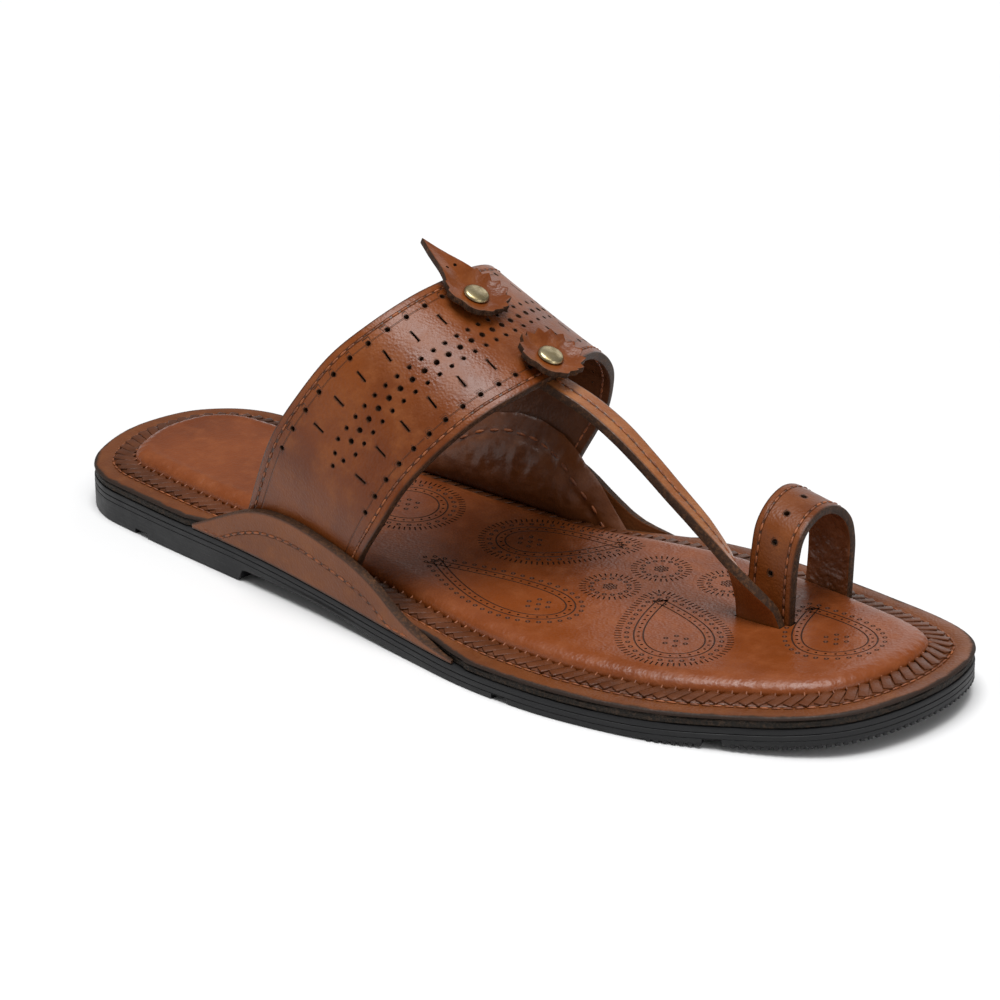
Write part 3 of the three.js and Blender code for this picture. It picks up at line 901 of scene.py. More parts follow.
class Finishes:
    """The finishes of the sandal, one material each."""

    def __init__(self) -> None:
        """Writes every material once."""
        stitched = (Line(Edge.FIRST, 2.5), Line(Edge.LAST, 2.5))
        scored = (Line(Edge.FIRST, 5.0, 0.28, 0.45), Line(Edge.LAST, 5.7, 0.28, 0.45))
        self.band = Leather("band_leather", roughness=0.35, shine=0.28, lines=stitched + scored).material()
        # The strap's colours are a lighter copy of the band's tan leather: painted light, standing in for the
        # strong light on the strap's top.
        self.strap = Leather(
            "strap_leather_painted_light", (0.275, 0.092, 0.022), (0.200, 0.060, 0.013), (0.340, 0.135, 0.040),
            roughness=0.40, shine=0.50, lines=(Line(Edge.FIRST, 4.0),),
        ).material()
        # The loop's colours are a darker copy of the band's tan leather: painted shade, toning down the light
        # that falls on its sides.
        self.loop = Leather(
            "loop_leather_painted_shade", (0.134, 0.034, 0.0058), (0.088, 0.020, 0.0034), (0.185, 0.055, 0.012),
            lines=(Line(Edge.FIRST, 2.3), Line(Edge.LAST, 2.3)),
        ).material()
        # The wings' colours are a lighter copy of the band's tan leather: painted light, making up for the
        # overhead light that their upright sides miss.
        self.wing = Leather(
            "wing_leather_painted_light", (0.190, 0.059, 0.017), (0.140, 0.040, 0.011), (0.235, 0.083, 0.027),
            roughness=0.46, lines=(Line(Edge.LAST, 6.6, 0.6),),
        ).material()
        self.rim = Leather(
            "rim_leather", (0.130, 0.038, 0.010), (0.085, 0.023, 0.006), (0.180, 0.062, 0.018),
            crease_relief=0.06,
        ).material()
        self.rosette = Leather("rosette_leather", roughness=0.36).material()
        self.pad = Leather(
            "pad_leather", (0.168, 0.039, 0.0070), (0.118, 0.026, 0.0045), (0.225, 0.062, 0.014),
            roughness=0.35, shine=0.34, grain=0.9, crease_relief=0.15,
        ).material()
        self.braid = Leather(
            "braid_leather", (0.088, 0.024, 0.0065), (0.038, 0.012, 0.004), (0.130, 0.040, 0.012),
            shine=0.25,
        ).material()
        self.patch = Leather(
            "patch_leather", (0.118, 0.034, 0.0085), (0.070, 0.019, 0.005), (0.165, 0.053, 0.015),
            roughness=0.36, shine=0.42, grain_relief=0.04, crease_size=5.0, crease_relief=0.75,
            crease_detail=1.2,
        ).material()
        self.loop_lining = Leather(
            "loop_lining_leather", (0.165, 0.050, 0.015), (0.095, 0.028, 0.009), (0.230, 0.080, 0.028),
            roughness=0.33, shine=0.5, crease_size=3.0, crease_relief=1.0, crease_detail=1.5,
        ).material()
        self.lining = Leather(
            "lining_leather", (0.086, 0.025, 0.0065), (0.048, 0.014, 0.004), (0.120, 0.038, 0.011),
            roughness=0.40, shine=0.30, crease_relief=0.12,
        ).material()
        self.tooled = Leather(
            "tooled_leather", (0.034, 0.011, 0.005), (0.020, 0.007, 0.003), (0.055, 0.018, 0.007),
            roughness=0.55,
        ).material()
        self.raw_edge = RawEdge().material()
        self.board = RawEdge("board_edge", (0.011, 0.009, 0.007), (0.060, 0.036, 0.022),
                             relief=0.45).material()
        self.rubber = Rubber().material()
        self.thread = Thread().material()
        self.brass = Brass().material()


class Slot(Enum):
    """The record's material slots."""

    LEATHER = "tan_leather"
    FOOTBED = "footbed_leather"
    BOARD = "edge_board"
    RUBBER = "sole_rubber"
    BRASS = "antique_brass"


def dress(piece: Piece, materials: Sequence[Material]) -> None:
    """Gives a piece its materials, in slot order.

    Args:
        piece: The piece.
        materials: The materials.
    """
    slots = piece.data.materials
    for index, material in enumerate(materials):
        if index == len(slots):
            slots.append(None)
        slots[index] = material


def hand_over(
    piece: Piece, materials: Sequence[Material], nodes: Sequence[str] = (),
    degrees: float = 40.0,
) -> None:
    """Dresses and shades a finished piece and ties it to the frame.

    Args:
        piece: The finished piece.
        materials: Its materials, in slot order.
        nodes: The frame's nodes that it stands for.
        degrees: The angle up to which it is shaded smooth.
    """
    dress(piece, materials)
    smooth(piece, degrees)
    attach(piece, "root")
    if nodes:
        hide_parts(*nodes)
    log.info("%s: %d faces", piece.name, len(piece.data.polygons))


def sew(name: str, finishes: Finishes, *jobs: tuple[Pattern, Array]) -> None:
    """Makes one piece of thread out of stitches at their places."""
    hand_over(repeat(name, *jobs), [finishes.thread], degrees=60)


# ---- the sole's shape -----------------------------------------------------------------------------


@dataclass(frozen=True)
class Notch:
    """A notch in the sole's bottom edge: its middle along the sole and half its width."""

    x: float
    half: float

    def clear(self, x: Array, margin: float) -> Array:
        """Tells which places lie outside it by more than a margin."""
        return np.abs(x - self.x) > self.half + margin


NOTCHES = (Notch(37.5, 2.8), Notch(185.0, 2.6), Notch(244.6, 2.4))
HEEL_BREAST = (80.6, 81.9)
WING_SPAN = (57.0, 176.0)


def clear_of_notches(x: Array, margin: float) -> Array:
    """Tells which places lie outside every notch by more than a margin."""
    return np.all([notch.clear(x, margin) for notch in NOTCHES], axis=0)


def read_sections(node: str) -> dict[str, Array]:
    """Reads a node's sides and heights at each of its sections.

    Args:
        node: The node's name.

    Returns:
        Arrays of x, lateral and medial y, and bottom and top z.
    """
    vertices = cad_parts[node].data.vertices
    points = np.array([vertex.co for vertex in vertices]) / MM + PART_ORIGIN
    keys = np.round(points[:, 0], 1)
    rows = [points[keys == place] for place in np.unique(keys)]
    return {
        "x": np.array([row[:, 0].mean() for row in rows]),
        "lateral": np.array([row[:, 1].min() for row in rows]),
        "medial": np.array([row[:, 1].max() for row in rows]),
        "bottom": np.array([row[:, 2].min() for row in rows]),
        "top": np.array([row[:, 2].max() for row in rows]),
    }


def reader(table: dict[str, Array], name: str) -> Height:
    """Gives the function that reads one of a node's measures at each x."""
    return lambda x: np.interp(x, table["x"], table[name])


def raised(height: Height, by: float) -> Height:
    """Gives a height that is so far above another one."""
    return lambda x: height(x) + by


def between(low: Height, high: Height, share: float) -> Height:
    """Gives the height at a share of the way from one height to another."""
    return lambda x: low(x) + share * (high(x) - low(x))


class SoleShape:
    """The plan and the heights of the sole, read from the frame's own pieces."""

    SECTIONS = 210
    STEP = 0.2
    TIP = 0.1

    def __init__(self) -> None:
        """Reads the outsole and the rim."""
        whole = read_sections("outsole")
        clear = clear_of_notches(whole["x"], 1.2)
        outsole = {name: values[clear] for name, values in whole.items()}
        rim = read_sections("rim")
        self.ground, self.outsole_top = reader(outsole, "bottom"), reader(outsole, "top")
        self.rim_bottom, self.rim_top = reader(rim, "bottom"), reader(rim, "top")
        self._rim_sides = {side: reader(rim, side) for side in ("lateral", "medial")}
        there = np.column_stack([outsole["x"], outsole["lateral"]])
        back = np.column_stack([outsole["x"], outsole["medial"]])[::-1]
        corners = np.vstack([there, back])
        self.loop = spline(corners, np.arange(0, len(corners), self.STEP), closed=True)
        half = int(len(there) / self.STEP)
        self._sides = {"lateral": self.loop[:half], "medial": self.loop[half:][::-1]}
        steps = [n.x + side * reach for n in NOTCHES for side in (-1, 1) for reach in (n.half - 0.05, n.half)]
        even = eased(np.linspace(0.0, 1.0, self.SECTIONS)) * (outsole["x"][-1] - self.TIP) + self.TIP
        self.xs = np.sort([*even, *HEEL_BREAST, *steps])

    def side(self, name: str, x: Array) -> Array:
        """Gives the outline's y on a side at places along the sole.

        Args:
            name: The side, lateral or medial.
            x: The places.

        Returns:
            The outline's y there.
        """
        line = self._sides[name]
        order = np.argsort(line[:, 0])
        return np.interp(x, line[order, 0], line[order, 1])

    def _room(self, x: Array, side: str) -> Array:
        """Gives how far the rim stands back for a wing.

        Args:
            x: The places.
            side: The wing's side.

        Returns:
            The distances.
        """
        room = np.abs(self._rim_sides[side](x) - self.side(side, x))
        near = (x > WING_SPAN[0]) & (x < WING_SPAN[1])
        return np.where(near & (room > 0.6), room, 0.0)

    def ring(self, inset: float, height: Height, room: bool = False, inward: Height | None = None) -> Array:
        """Gives a closed ring of points inside the outline.

        Args:
            inset: How far in from the outline.
            height: The height at each x.
            room: Whether the ring stands back where the wings are.
            inward: How much further in it runs at each x, if it does.

        Returns:
            The ring, along the lateral side to the toe and back along the medial side.
        """
        xs = self.xs
        lateral = np.column_stack([xs, self.side("lateral", xs)])
        medial = np.column_stack([xs, self.side("medial", xs)])[::-1]
        ring = np.vstack([lateral, medial])
        ahead = ahead_round(ring)
        depth = np.full(len(ring), float(inset))
        if inward:
            depth += inward(ring[:, 0])
        if room:
            depth += np.concatenate([self._room(xs, "lateral"), self._room(xs, "medial")[::-1]])
        moved = ring + np.column_stack([-ahead[:, 1], ahead[:, 0]]) * depth[:, None]
        return np.column_stack([moved, height(moved[:, 0])])

    def path(self, inset: float, spacing: float) -> Array:
        """Gives a closed plan path so far inside the outline, in even steps of about a spacing.

        Args:
            inset: How far inside.
            spacing: About how long a step is.

        Returns:
            The path's points in plan.
        """
        ahead = ahead_round(self.loop)
        moved = self.loop + np.column_stack([-ahead[:, 1], ahead[:, 0]]) * inset
        return evenly(moved, spacing=spacing)

    def path_frames(self, inset: float, spacing: float, height: Height) -> Array:
        """Gives places along a path with the directions along, inwards and up.

        Args:
            inset: How far inside the outline.
            spacing: About how long a step is.
            height: The height at each x.

        Returns:
            The places.
        """
        path = self.path(inset, spacing)
        points = np.column_stack([path, height(path[:, 0])])
        ahead = ahead_round(points)
        inward = unit(np.cross(UP, ahead))
        return np.stack([points, ahead, inward, np.cross(ahead, inward)], axis=1)


@dataclass
class Sole:
    """The rubber outsole, the board above it and the leather rim."""

    shape: SoleShape
    finishes: Finishes
    edge_round: float = 0.55
    groove: float = 0.28
    upper_groove: float = 1.75
    lower_groove: float = 3.40
    tread_pitch: float = 2.2
    tread_start: float = 150.0
    lug_inset: float = 0.66
    lug_rise: float = 0.08
    lug_hang: float = 0.42
    lug: Strip = (1.25, 1.5, 1.0, 0.16)
    lug_clearance: float = 0.9
    rim_round: float = 1.1
    notch_depth: float = 4.5
    notch_height: float = 1.7
    board_ragged: float = 0.34
    board_gap: float = 0.4 * GAP

    def build(self) -> None:
        """Builds the three layers and the tread."""
        self.outsole()
        self.tread()
        self.board()
        self.rim()

    def _in_notch(self, x: Array) -> Array:
        """Gives how deep the notches cut in at each x."""
        return self.notch_depth * ~clear_of_notches(x, -0.02)

    def tread(self) -> None:
        """Makes the fine lugs along the bottom edge of the toe."""
        ground = self.shape.ground
        places = self.shape.path_frames(self.lug_inset, self.tread_pitch, raised(ground, self.lug_rise))
        x = places[:, 0, 0]
        lifted = (x > self.tread_start) & (ground(x) > self.lug_hang + 0.05)
        keep = lifted & clear_of_notches(x, self.lug_clearance)
        lugs = repeat("tread_lugs", (Pattern.slab(*self.lug), places[keep]))
        hand_over(lugs, [self.finishes.rubber])

    def outsole(self) -> None:
        """Makes the rubber outsole: rows of inset, level, height above it and whether the notches cut in."""
        ground, top = self.shape.ground, self.shape.outsole_top
        groove = self.groove
        profile = [
            (6.0, ground, 0.0, False), (self.edge_round, ground, 0.0, True), (0.12, ground, 0.16, True),
            (0.0, ground, self.edge_round, True), (0.0, ground, self.notch_height, True),
            (0.0, ground, self.notch_height, False),
            (0.0, top, -self.lower_groove - 0.15, False), (0.6 * groove, top, -self.lower_groove, False),
            (0.03, top, -self.lower_groove + 0.15, False), (0.0, top, -self.upper_groove - 0.2, False),
            (groove, top, -self.upper_groove, False), (0.05, top, -self.upper_groove + 0.2, False),
            (0.0, top, -0.5, False), (0.15, top, -0.12, False),
            (0.5, top, 0.0, False), (6.0, top, 0.0, False),
        ]
        rings = [
            self.shape.ring(inset, raised(level, by), inward=self._in_notch if notched else None)
            for inset, level, by, notched in profile
        ]
        hand_over(loft("rubber_outsole", rings), [self.finishes.rubber], ["outsole"], 32)

    def board(self) -> None:
        """Makes the dark board, its edge rough and a little proud in places."""
        low = raised(self.shape.outsole_top, self.board_gap)
        high = raised(self.shape.rim_bottom, -self.board_gap)
        profile = ((6.0, 0), (0.45, 0), (0.10, 0.22), (0.28, 0.50), (0.10, 0.78), (0.40, 1), (6.0, 1))
        rings = [self.shape.ring(inset, between(low, high, share), True) for inset, share in profile]
        self._roughen(rings[1:-1])
        hand_over(loft("board_edge", rings), [self.finishes.board], ["midsole"], 60)

    def _roughen(self, rings: list[Array]) -> None:
        """Shifts rings a little in plan, by a sum of waves that never repeats.

        Args:
            rings: The rings, which change.
        """
        turn = np.linspace(0, 2 * math.pi, len(rings[0]), endpoint=False)
        for r, ring in enumerate(rings):
            wave = sum(math.sin(1 + k) * np.sin(turn * k * 7 + r * k) for k in (3, 5, 9, 14)) / 2
            outwards = unit(ring[:, :2] - ring[:, :2].mean(axis=0))
            ring[:, :2] -= outwards * (self.board_ragged * (0.5 + 0.5 * np.tanh(wave)))[:, None]

    def rim(self) -> None:
        """Makes the leather rim: rows of inset, level, height above it and how worn it is."""
        low, top = self.shape.rim_bottom, self.shape.rim_top
        profile = [
            (6.5, low, 0.0, 1.0), (0.35, low, 0.0, 1.0), (0.0, low, 0.25, 1.0), (0.12, top, -0.45, 0.95),
            (0.45 * self.rim_round, top, -0.14, 0.72), (self.rim_round, top, -0.02, 0.42),
            (2.4, top, 0.0, 0.12), (4.9, top, 0.0, 0.0), (5.5, top, -0.22, 0.35), (6.5, top, -0.05, 0.3),
            (9.0, top, -0.05, 0.3),
        ]
        rings = [self.shape.ring(inset, raised(level, by), True) for inset, level, by, _ in profile]
        piece = loft("leather_rim", rings, [worn for *_, worn in profile])
        hand_over(piece, [self.finishes.rim], ["rim"], 50)


# ---- the footbed ----------------------------------------------------------------------------------


@dataclass(frozen=True)
class Wheel:
    """A tooled wheel: rings of dots round a flower of dots."""

    x: float
    y: float
    size: float
    lined: bool = True
    dashes: bool = True

    def heart(self) -> tuple[float, float]:
        """Gives its middle."""
        return self.x, self.y

    def outline(self, margin: float, count: int) -> Array:
        """Gives a circle round the wheel's centre, in plan.

        Args:
            margin: How far outside the wheel it lies.
            count: How many points it has.

        Returns:
            The points.
        """
        turn = np.linspace(0, 2 * math.pi, count, endpoint=False)
        radius = self.size + margin
        return np.column_stack([self.x + radius * np.cos(turn), self.y + radius * np.sin(turn)])


@dataclass(frozen=True)
class Paisley:
    """A tooled drop: a round body with a bent tail, its tip turned by a heading in degrees."""

    x: float
    y: float
    size: float
    stretch: float
    heading: float
    bend: float = 0.0
    dashes: bool = True
    lined: bool = True

    @property
    def reach(self) -> float:
        """Gives the distance from its middle to its tip."""
        return self.size * self.stretch

    def heart(self) -> tuple[float, float]:
        """Gives the middle of its round body.

        Returns:
            Its x and y.
        """
        turn = math.radians(self.heading)
        back = self.reach - self.size * 0.84
        return self.x - back * math.cos(turn), self.y - back * math.sin(turn)

    def outline(self, margin: float, count: int) -> Array:
        """Gives its closed outline in plan.

        Args:
            margin: How far outside the drop the line runs.
            count: How many points it has.

        Returns:
            The points' x and y.
        """
        fine = np.linspace(0, 2 * math.pi, 241)[:-1]
        along = np.cos(fine) * self.reach
        across = np.sin(fine) * np.sin(fine / 2) ** 1.1 * self.size * 1.12
        across = across + self.bend * ((along + self.reach) / (2 * self.reach)) ** 2 * self.size
        plan = np.column_stack([along, across])
        ahead = ahead_round(plan)
        plan = evenly(plan + np.column_stack([ahead[:, 1], -ahead[:, 0]]) * margin, count)
        turn = math.radians(self.heading)
        spin = np.array([[math.cos(turn), math.sin(turn)], [-math.sin(turn), math.cos(turn)]])
        return plan @ spin + np.array([self.x, self.y])


@dataclass
class Footbed:
    """The padded footbed, its tooling, and the braid that binds it to the rim."""

    shape: SoleShape
    finishes: Finishes
    inset: float = 12.3
    height: float = 3.6
    lip: float = 0.4
    edge_radius: float = 6.5
    heel_dish: float = 0.55
    pucker: float = 0.07
    braid_pitch: float = 3.7
    braid_slant: float = 56.0
    slant_spread: float = 3.0
    thong: Strip = (6.9, 2.72, 0.70, 0.33)
    thong_inset: float = 9.35
    thong_rise: float = 0.62
    thong_tilt: float = 4.5
    outer_stitch: Triple = (2.5, 0.62, 0.6)
    outer_stitch_pitch: float = 3.0
    inner_stitch: Triple = (2.3, 0.6, 0.6)
    inner_stitch_lean: tuple[float, float] = (24.0, 7.0)
    dot: tuple[float, float, float, int] = (0.85, 0.72, 0.7, 8)
    dash: Strip = (1.9, 0.44, 0.7, 0.05)
    ring_radius: float = 0.5
    ring_width: float = 0.23
    line_width: float = 0.27
    drops: tuple[Paisley, ...] = (
        Paisley(247.2, 9.2, 13.0, 1.30, 131, 0.25, False),
        Paisley(211.2, -12.0, 12.5, 1.50, 127, 0.25),
        Paisley(159.5, -23.4, 12.3, 2.00, 186, -0.6, False),
        Paisley(155.6, 13.2, 11.3, 1.62, 30, 0.2),
    )
    wheels: tuple[Wheel, ...] = (
        Wheel(108, 4, 11.5),
        Wheel(182.5, -1, 3.4, False),
        Wheel(187, 17, 3.4, False),
        Wheel(207, 20, 3.4, False),
        Wheel(84, -8, 4.6, False),
        Wheel(82, 14, 4.6, False),
    )
    loop: Array = field(init=False)

    def __post_init__(self) -> None:
        """Works out the pad's own outline."""
        self.loop = self.shape.path(self.inset, 1.2)

    def _inside(self, x: Array, y: Array) -> tuple[Array, Array]:
        """Gives each place's distance to the pad's edge, and how far round the edge that is.

        Args:
            x: The places' x.
            y: The places' y.

        Returns:
            The distances in, and the distances round the edge.
        """
        spans = np.roll(self.loop, -1, axis=0) - self.loop
        lengths = np.linalg.norm(spans, axis=1)
        run = np.concatenate([[0], np.cumsum(lengths)[:-1]])
        best, where = np.full(len(x), np.inf), np.zeros(len(x))
        for start, span, length, so_far in zip(self.loop, spans, lengths, run):
            share = np.clip(((x - start[0]) * span[0] + (y - start[1]) * span[1]) / length**2, 0, 1)
            distance = np.hypot(start[0] + share * span[0] - x, start[1] + share * span[1] - y)
            closer = distance < best
            best = np.where(closer, distance, best)
            where = np.where(closer, so_far + share * length, where)
        return best, where

    def top(self, x: Array, y: Array) -> Array:
        """Gives the height of the pad's top.

        Args:
            x: The places' x.
            y: The places' y.

        Returns:
            The heights there.
        """
        distance, round_edge = self._inside(x, y)
        edge = np.minimum(1.0, distance / self.edge_radius)
        crown = self.height * np.sqrt(np.maximum(0.0, 1 - (1 - edge) ** 2))
        dish = self.heel_dish * smooth_step(edge, 0.5, 1.0) * (1 - smooth_step(x, 45, 90))
        fold = np.cos(2 * math.pi * round_edge / self.braid_pitch) * self.pucker
        fold = fold * smooth_step(distance, 0.0, 0.8) * (1 - smooth_step(distance, 1.2, 5.0))
        return self.shape.rim_top(x) + GAP + self.lip + crown - dish + fold

    def pad(self, slots: Sequence[Piece]) -> None:
        """Makes the pad.

        Args:
            slots: Cutters for the slots that the straps go through.
        """
        piece = add(bpy.ops.mesh.primitive_grid_add, x_subdivisions=300, y_subdivisions=64, size=1)
        piece.name = piece.data.name = "padded_footbed"
        with editing(piece):
            bpy.ops.mesh.extrude_region_move(TRANSFORM_OT_translate={"value": (0, 0, 1)})
        shares = coordinates(piece)
        plan = eased(np.clip(shares[:, :2] + 0.5, 0, 1))
        low, high = self.loop[:, 0].min() + 0.05, self.loop[:, 0].max() - 0.05
        x = low + (high - low) * plan[:, 0]
        lateral, medial = self._sides(x)
        y = lateral + (medial - lateral) * plan[:, 1]
        z = np.where(shares[:, 2] > 0.5, self.top(x, y), self.shape.rim_top(x) + GAP)
        move_vertices(piece, np.column_stack([x, y, z]))
        face_out(piece)
        materials = [self.finishes.pad, self.finishes.tooled]
        dress(piece, materials)
        for cutter in (*slots, self._tooling()):
            carve(piece, cutter)
        hand_over(piece, materials, ["footbed"])

    def _sides(self, x: Array) -> list[Array]:
        """Gives the pad's lateral and medial y at places along it.

        Args:
            x: The places.

        Returns:
            The two sides' y there.
        """
        toe, heel = self.loop[:, 0].argmax(), self.loop[:, 0].argmin()
        rolled = np.roll(self.loop, -heel, axis=0)
        split = (toe - heel) % len(self.loop)
        halves = [rolled[: split + 1], np.vstack([rolled[split:], rolled[:1]])[::-1]]
        halves.sort(key=lambda half: half[:, 1].mean())
        orders = [half[:, 0].argsort() for half in halves]
        return [np.interp(x, half[order, 0], half[order, 1]) for half, order in zip(halves, orders)]

    def _on_top(self, plan: Array, level: float) -> Array:
        """Lifts plan points onto the pad."""
        return np.column_stack([plan, self.top(plan[:, 0], plan[:, 1]) + level])

    def _marks(self, figure: Paisley | Wheel, margin: float, spacing: float) -> Array:
        """Gives evenly spaced places on an outline, turned along it.

        Args:
            figure: The tooled figure.
            margin: How far outside the figure they lie.
            spacing: About how far apart.

        Returns:
            The places.
        """
        rough = figure.outline(margin, 60)
        length = travelled(np.vstack([rough, rough[:1]]))[-1]
        points = self._on_top(figure.outline(margin, max(6, int(round(length / spacing)))), 0.0)
        ahead = ahead_round(points)
        out = np.tile(UP, (len(points), 1))
        return np.stack([points, np.cross(ahead, out), ahead, out], axis=1)

    def _tooling(self) -> Piece:
        """Makes the cutter of all the tooled figures.

        Returns:
            The cutter.
        """
        dot = Pattern.punch(*self.dot)
        dash = Pattern.slab(*self.dash)
        turn = np.linspace(0, 2 * math.pi, 10, endpoint=False)
        circle = self.ring_radius * np.column_stack([np.cos(turn), np.sin(turn), 0 * turn])
        ring = Pattern.tube(circle, self.ring_width, 4)
        jobs: list[tuple[Pattern, Array]] = []
        for figure in (*self.drops, *self.wheels):
            heart = Wheel(*figure.heart(), 3.1 if figure.lined else 1.5)
            jobs.append((ring, self._marks(heart, 0.0, heart.size)))
            jobs.append((ring, self._marks(heart, -heart.size * 0.98, 9.0)[:1]))
            if figure.lined:
                for margin in (0.0, -2.5):
                    line = self._on_top(figure.outline(margin, 120), 0.08)
                    jobs.append((Pattern.tube(line, self.line_width), AS_MODELLED))
                jobs.append((dot, self._marks(figure, -1.25, 2.6)))
            jobs.append((ring, self._marks(figure, 1.9, 2.9 if figure.lined else 2.2)))
            if figure.dashes:
                jobs.append((dash, self._marks(figure, 4.2, 1.5)))
        return repeat("tooling_cutter", *jobs)

    def braid(self) -> None:
        """Makes the slanted thongs between the pad and the rim, and their stitches."""
        shape = self.shape
        profile = ((9.0, 0.05), (6.3, 0.05), (6.5, 0.30), (9.0, 0.42), (12.1, 0.30), (12.15, 0.05))
        rings = [shape.ring(inset, raised(shape.rim_top, by)) for inset, by in profile]
        hand_over(loft("braid_bed", rings, band=True), [self.finishes.braid], degrees=50)
        places = shape.path_frames(self.thong_inset, self.braid_pitch, raised(shape.rim_top, self.thong_rise))
        rng = np.random.default_rng(SEED)
        slant = np.radians(self.braid_slant + rng.normal(0, self.slant_spread, len(places)))[:, None]
        tilt = math.radians(self.thong_tilt)
        along, inward, up = places[:, 1], places[:, 2], places[:, 3]
        long_way = along * np.cos(slant) + inward * np.sin(slant)
        wide_way = np.cross(up, long_way) * math.cos(tilt) + up * math.sin(tilt)
        turned = np.stack([places[:, 0], long_way, wide_way, np.cross(long_way, wide_way)], axis=1)
        thongs = repeat("braid_thongs", (Pattern.slab(*self.thong), turned))
        hand_over(thongs, [self.finishes.braid])
        self._braid_thread(rng)

    def _braid_thread(self, rng: np.random.Generator) -> None:
        """Makes the thread at both sides of the braid.

        Args:
            rng: Where the stitches' lean comes from, after the thongs' slant.
        """
        rim_top = self.shape.rim_top
        outer = self.shape.path_frames(5.7, self.outer_stitch_pitch, raised(rim_top, 0.02))
        inner = self.shape.path_frames(12.2, self.braid_pitch, raised(rim_top, 1.05))
        lean = np.radians(rng.normal(*self.inner_stitch_lean, len(inner)))[:, None]
        along, inward, up = inner[:, 1].copy(), inner[:, 2].copy(), inner[:, 3].copy()
        inner[:, 1] = inward * np.cos(lean) + up * np.sin(lean)
        inner[:, 2] = -along
        inner[:, 3] = up * np.cos(lean) - inward * np.sin(lean)
        jobs = [(Pattern.bead(*self.outer_stitch), outer), (Pattern.bead(*self.inner_stitch), inner)]
        sew("braid_thread", self.finishes, *jobs)


# ---- leather sheets -------------------------------------------------------------------------------


def sheet(
    name: str, surface: Surface, rows: int, columns: int, wall: float, round_edge: float = 0.4,
    taper: Callable[[Array], Array] | None = None,
) -> Piece:
    """Lays a primitive grid over a surface and gives it its wall.

    Args:
        name: The piece's name.
        surface: The outer face.
        rows: Faces along it.
        columns: Faces across it.
        wall: The leather's thickness.
        round_edge: How far its edges are rounded.
        taper: The share of the wall at each share along, if it thins out.

    Returns:
        A closed sheet with slots for its outer face, its inner face and its cut edge.
    """
    piece = add(bpy.ops.mesh.primitive_grid_add, x_subdivisions=rows, y_subdivisions=columns, size=1)
    piece.name = piece.data.name = name
    shares = np.clip(coordinates(piece)[:, :2] + 0.5, 0, 1)
    move_vertices(piece, surface.points(shares[:, 0], shares[:, 1]))
    width = surface.width(shares[:, 0])
    set_attribute(piece, Edge.FIRST.value, shares[:, 1] * width)
    set_attribute(piece, Edge.LAST.value, (1 - shares[:, 1]) * width)
    centre = surface.frames(np.array([0.5]))[0]
    at = Vector(to_part(centre[0]))
    middle = min(piece.data.polygons, key=lambda polygon: (polygon.center - at).length)
    if middle.normal.dot(Vector(centre[3])) < 0:
        with editing(piece):
            bpy.ops.mesh.flip_normals()
    settings: dict[str, object] = {}
    if taper:
        group = piece.vertex_groups.new(name="wall")
        for index, share in enumerate(taper(shares[:, 0])):
            group.add([index], float(share), "REPLACE")
        settings["vertex_group"] = "wall"
    for _ in range(3):
        piece.data.materials.append(None)
    modify(
        piece, "SOLIDIFY", thickness=wall * MM, offset=-1, use_even_offset=True,
        material_offset=1, material_offset_rim=2, **settings,
    )
    round_edges(piece, round_edge)
    return piece


@dataclass(frozen=True)
class BandSection:
    """A section of the instep band: its outer face at the rear edge and at the front edge."""

    rear: Triple
    front: Triple


@dataclass(frozen=True)
class BandFoot:
    """Where the band goes down behind a wing: along the rim, and a little above it."""

    side: str
    rear_x: float
    front_x: float
    tuck_rear_x: float
    tuck_front_x: float
    tuck_z: float


def both_sides(values: Array) -> Array:
    """Gives distances on the lateral side and the same on the medial side."""
    return np.concatenate([-values, values])


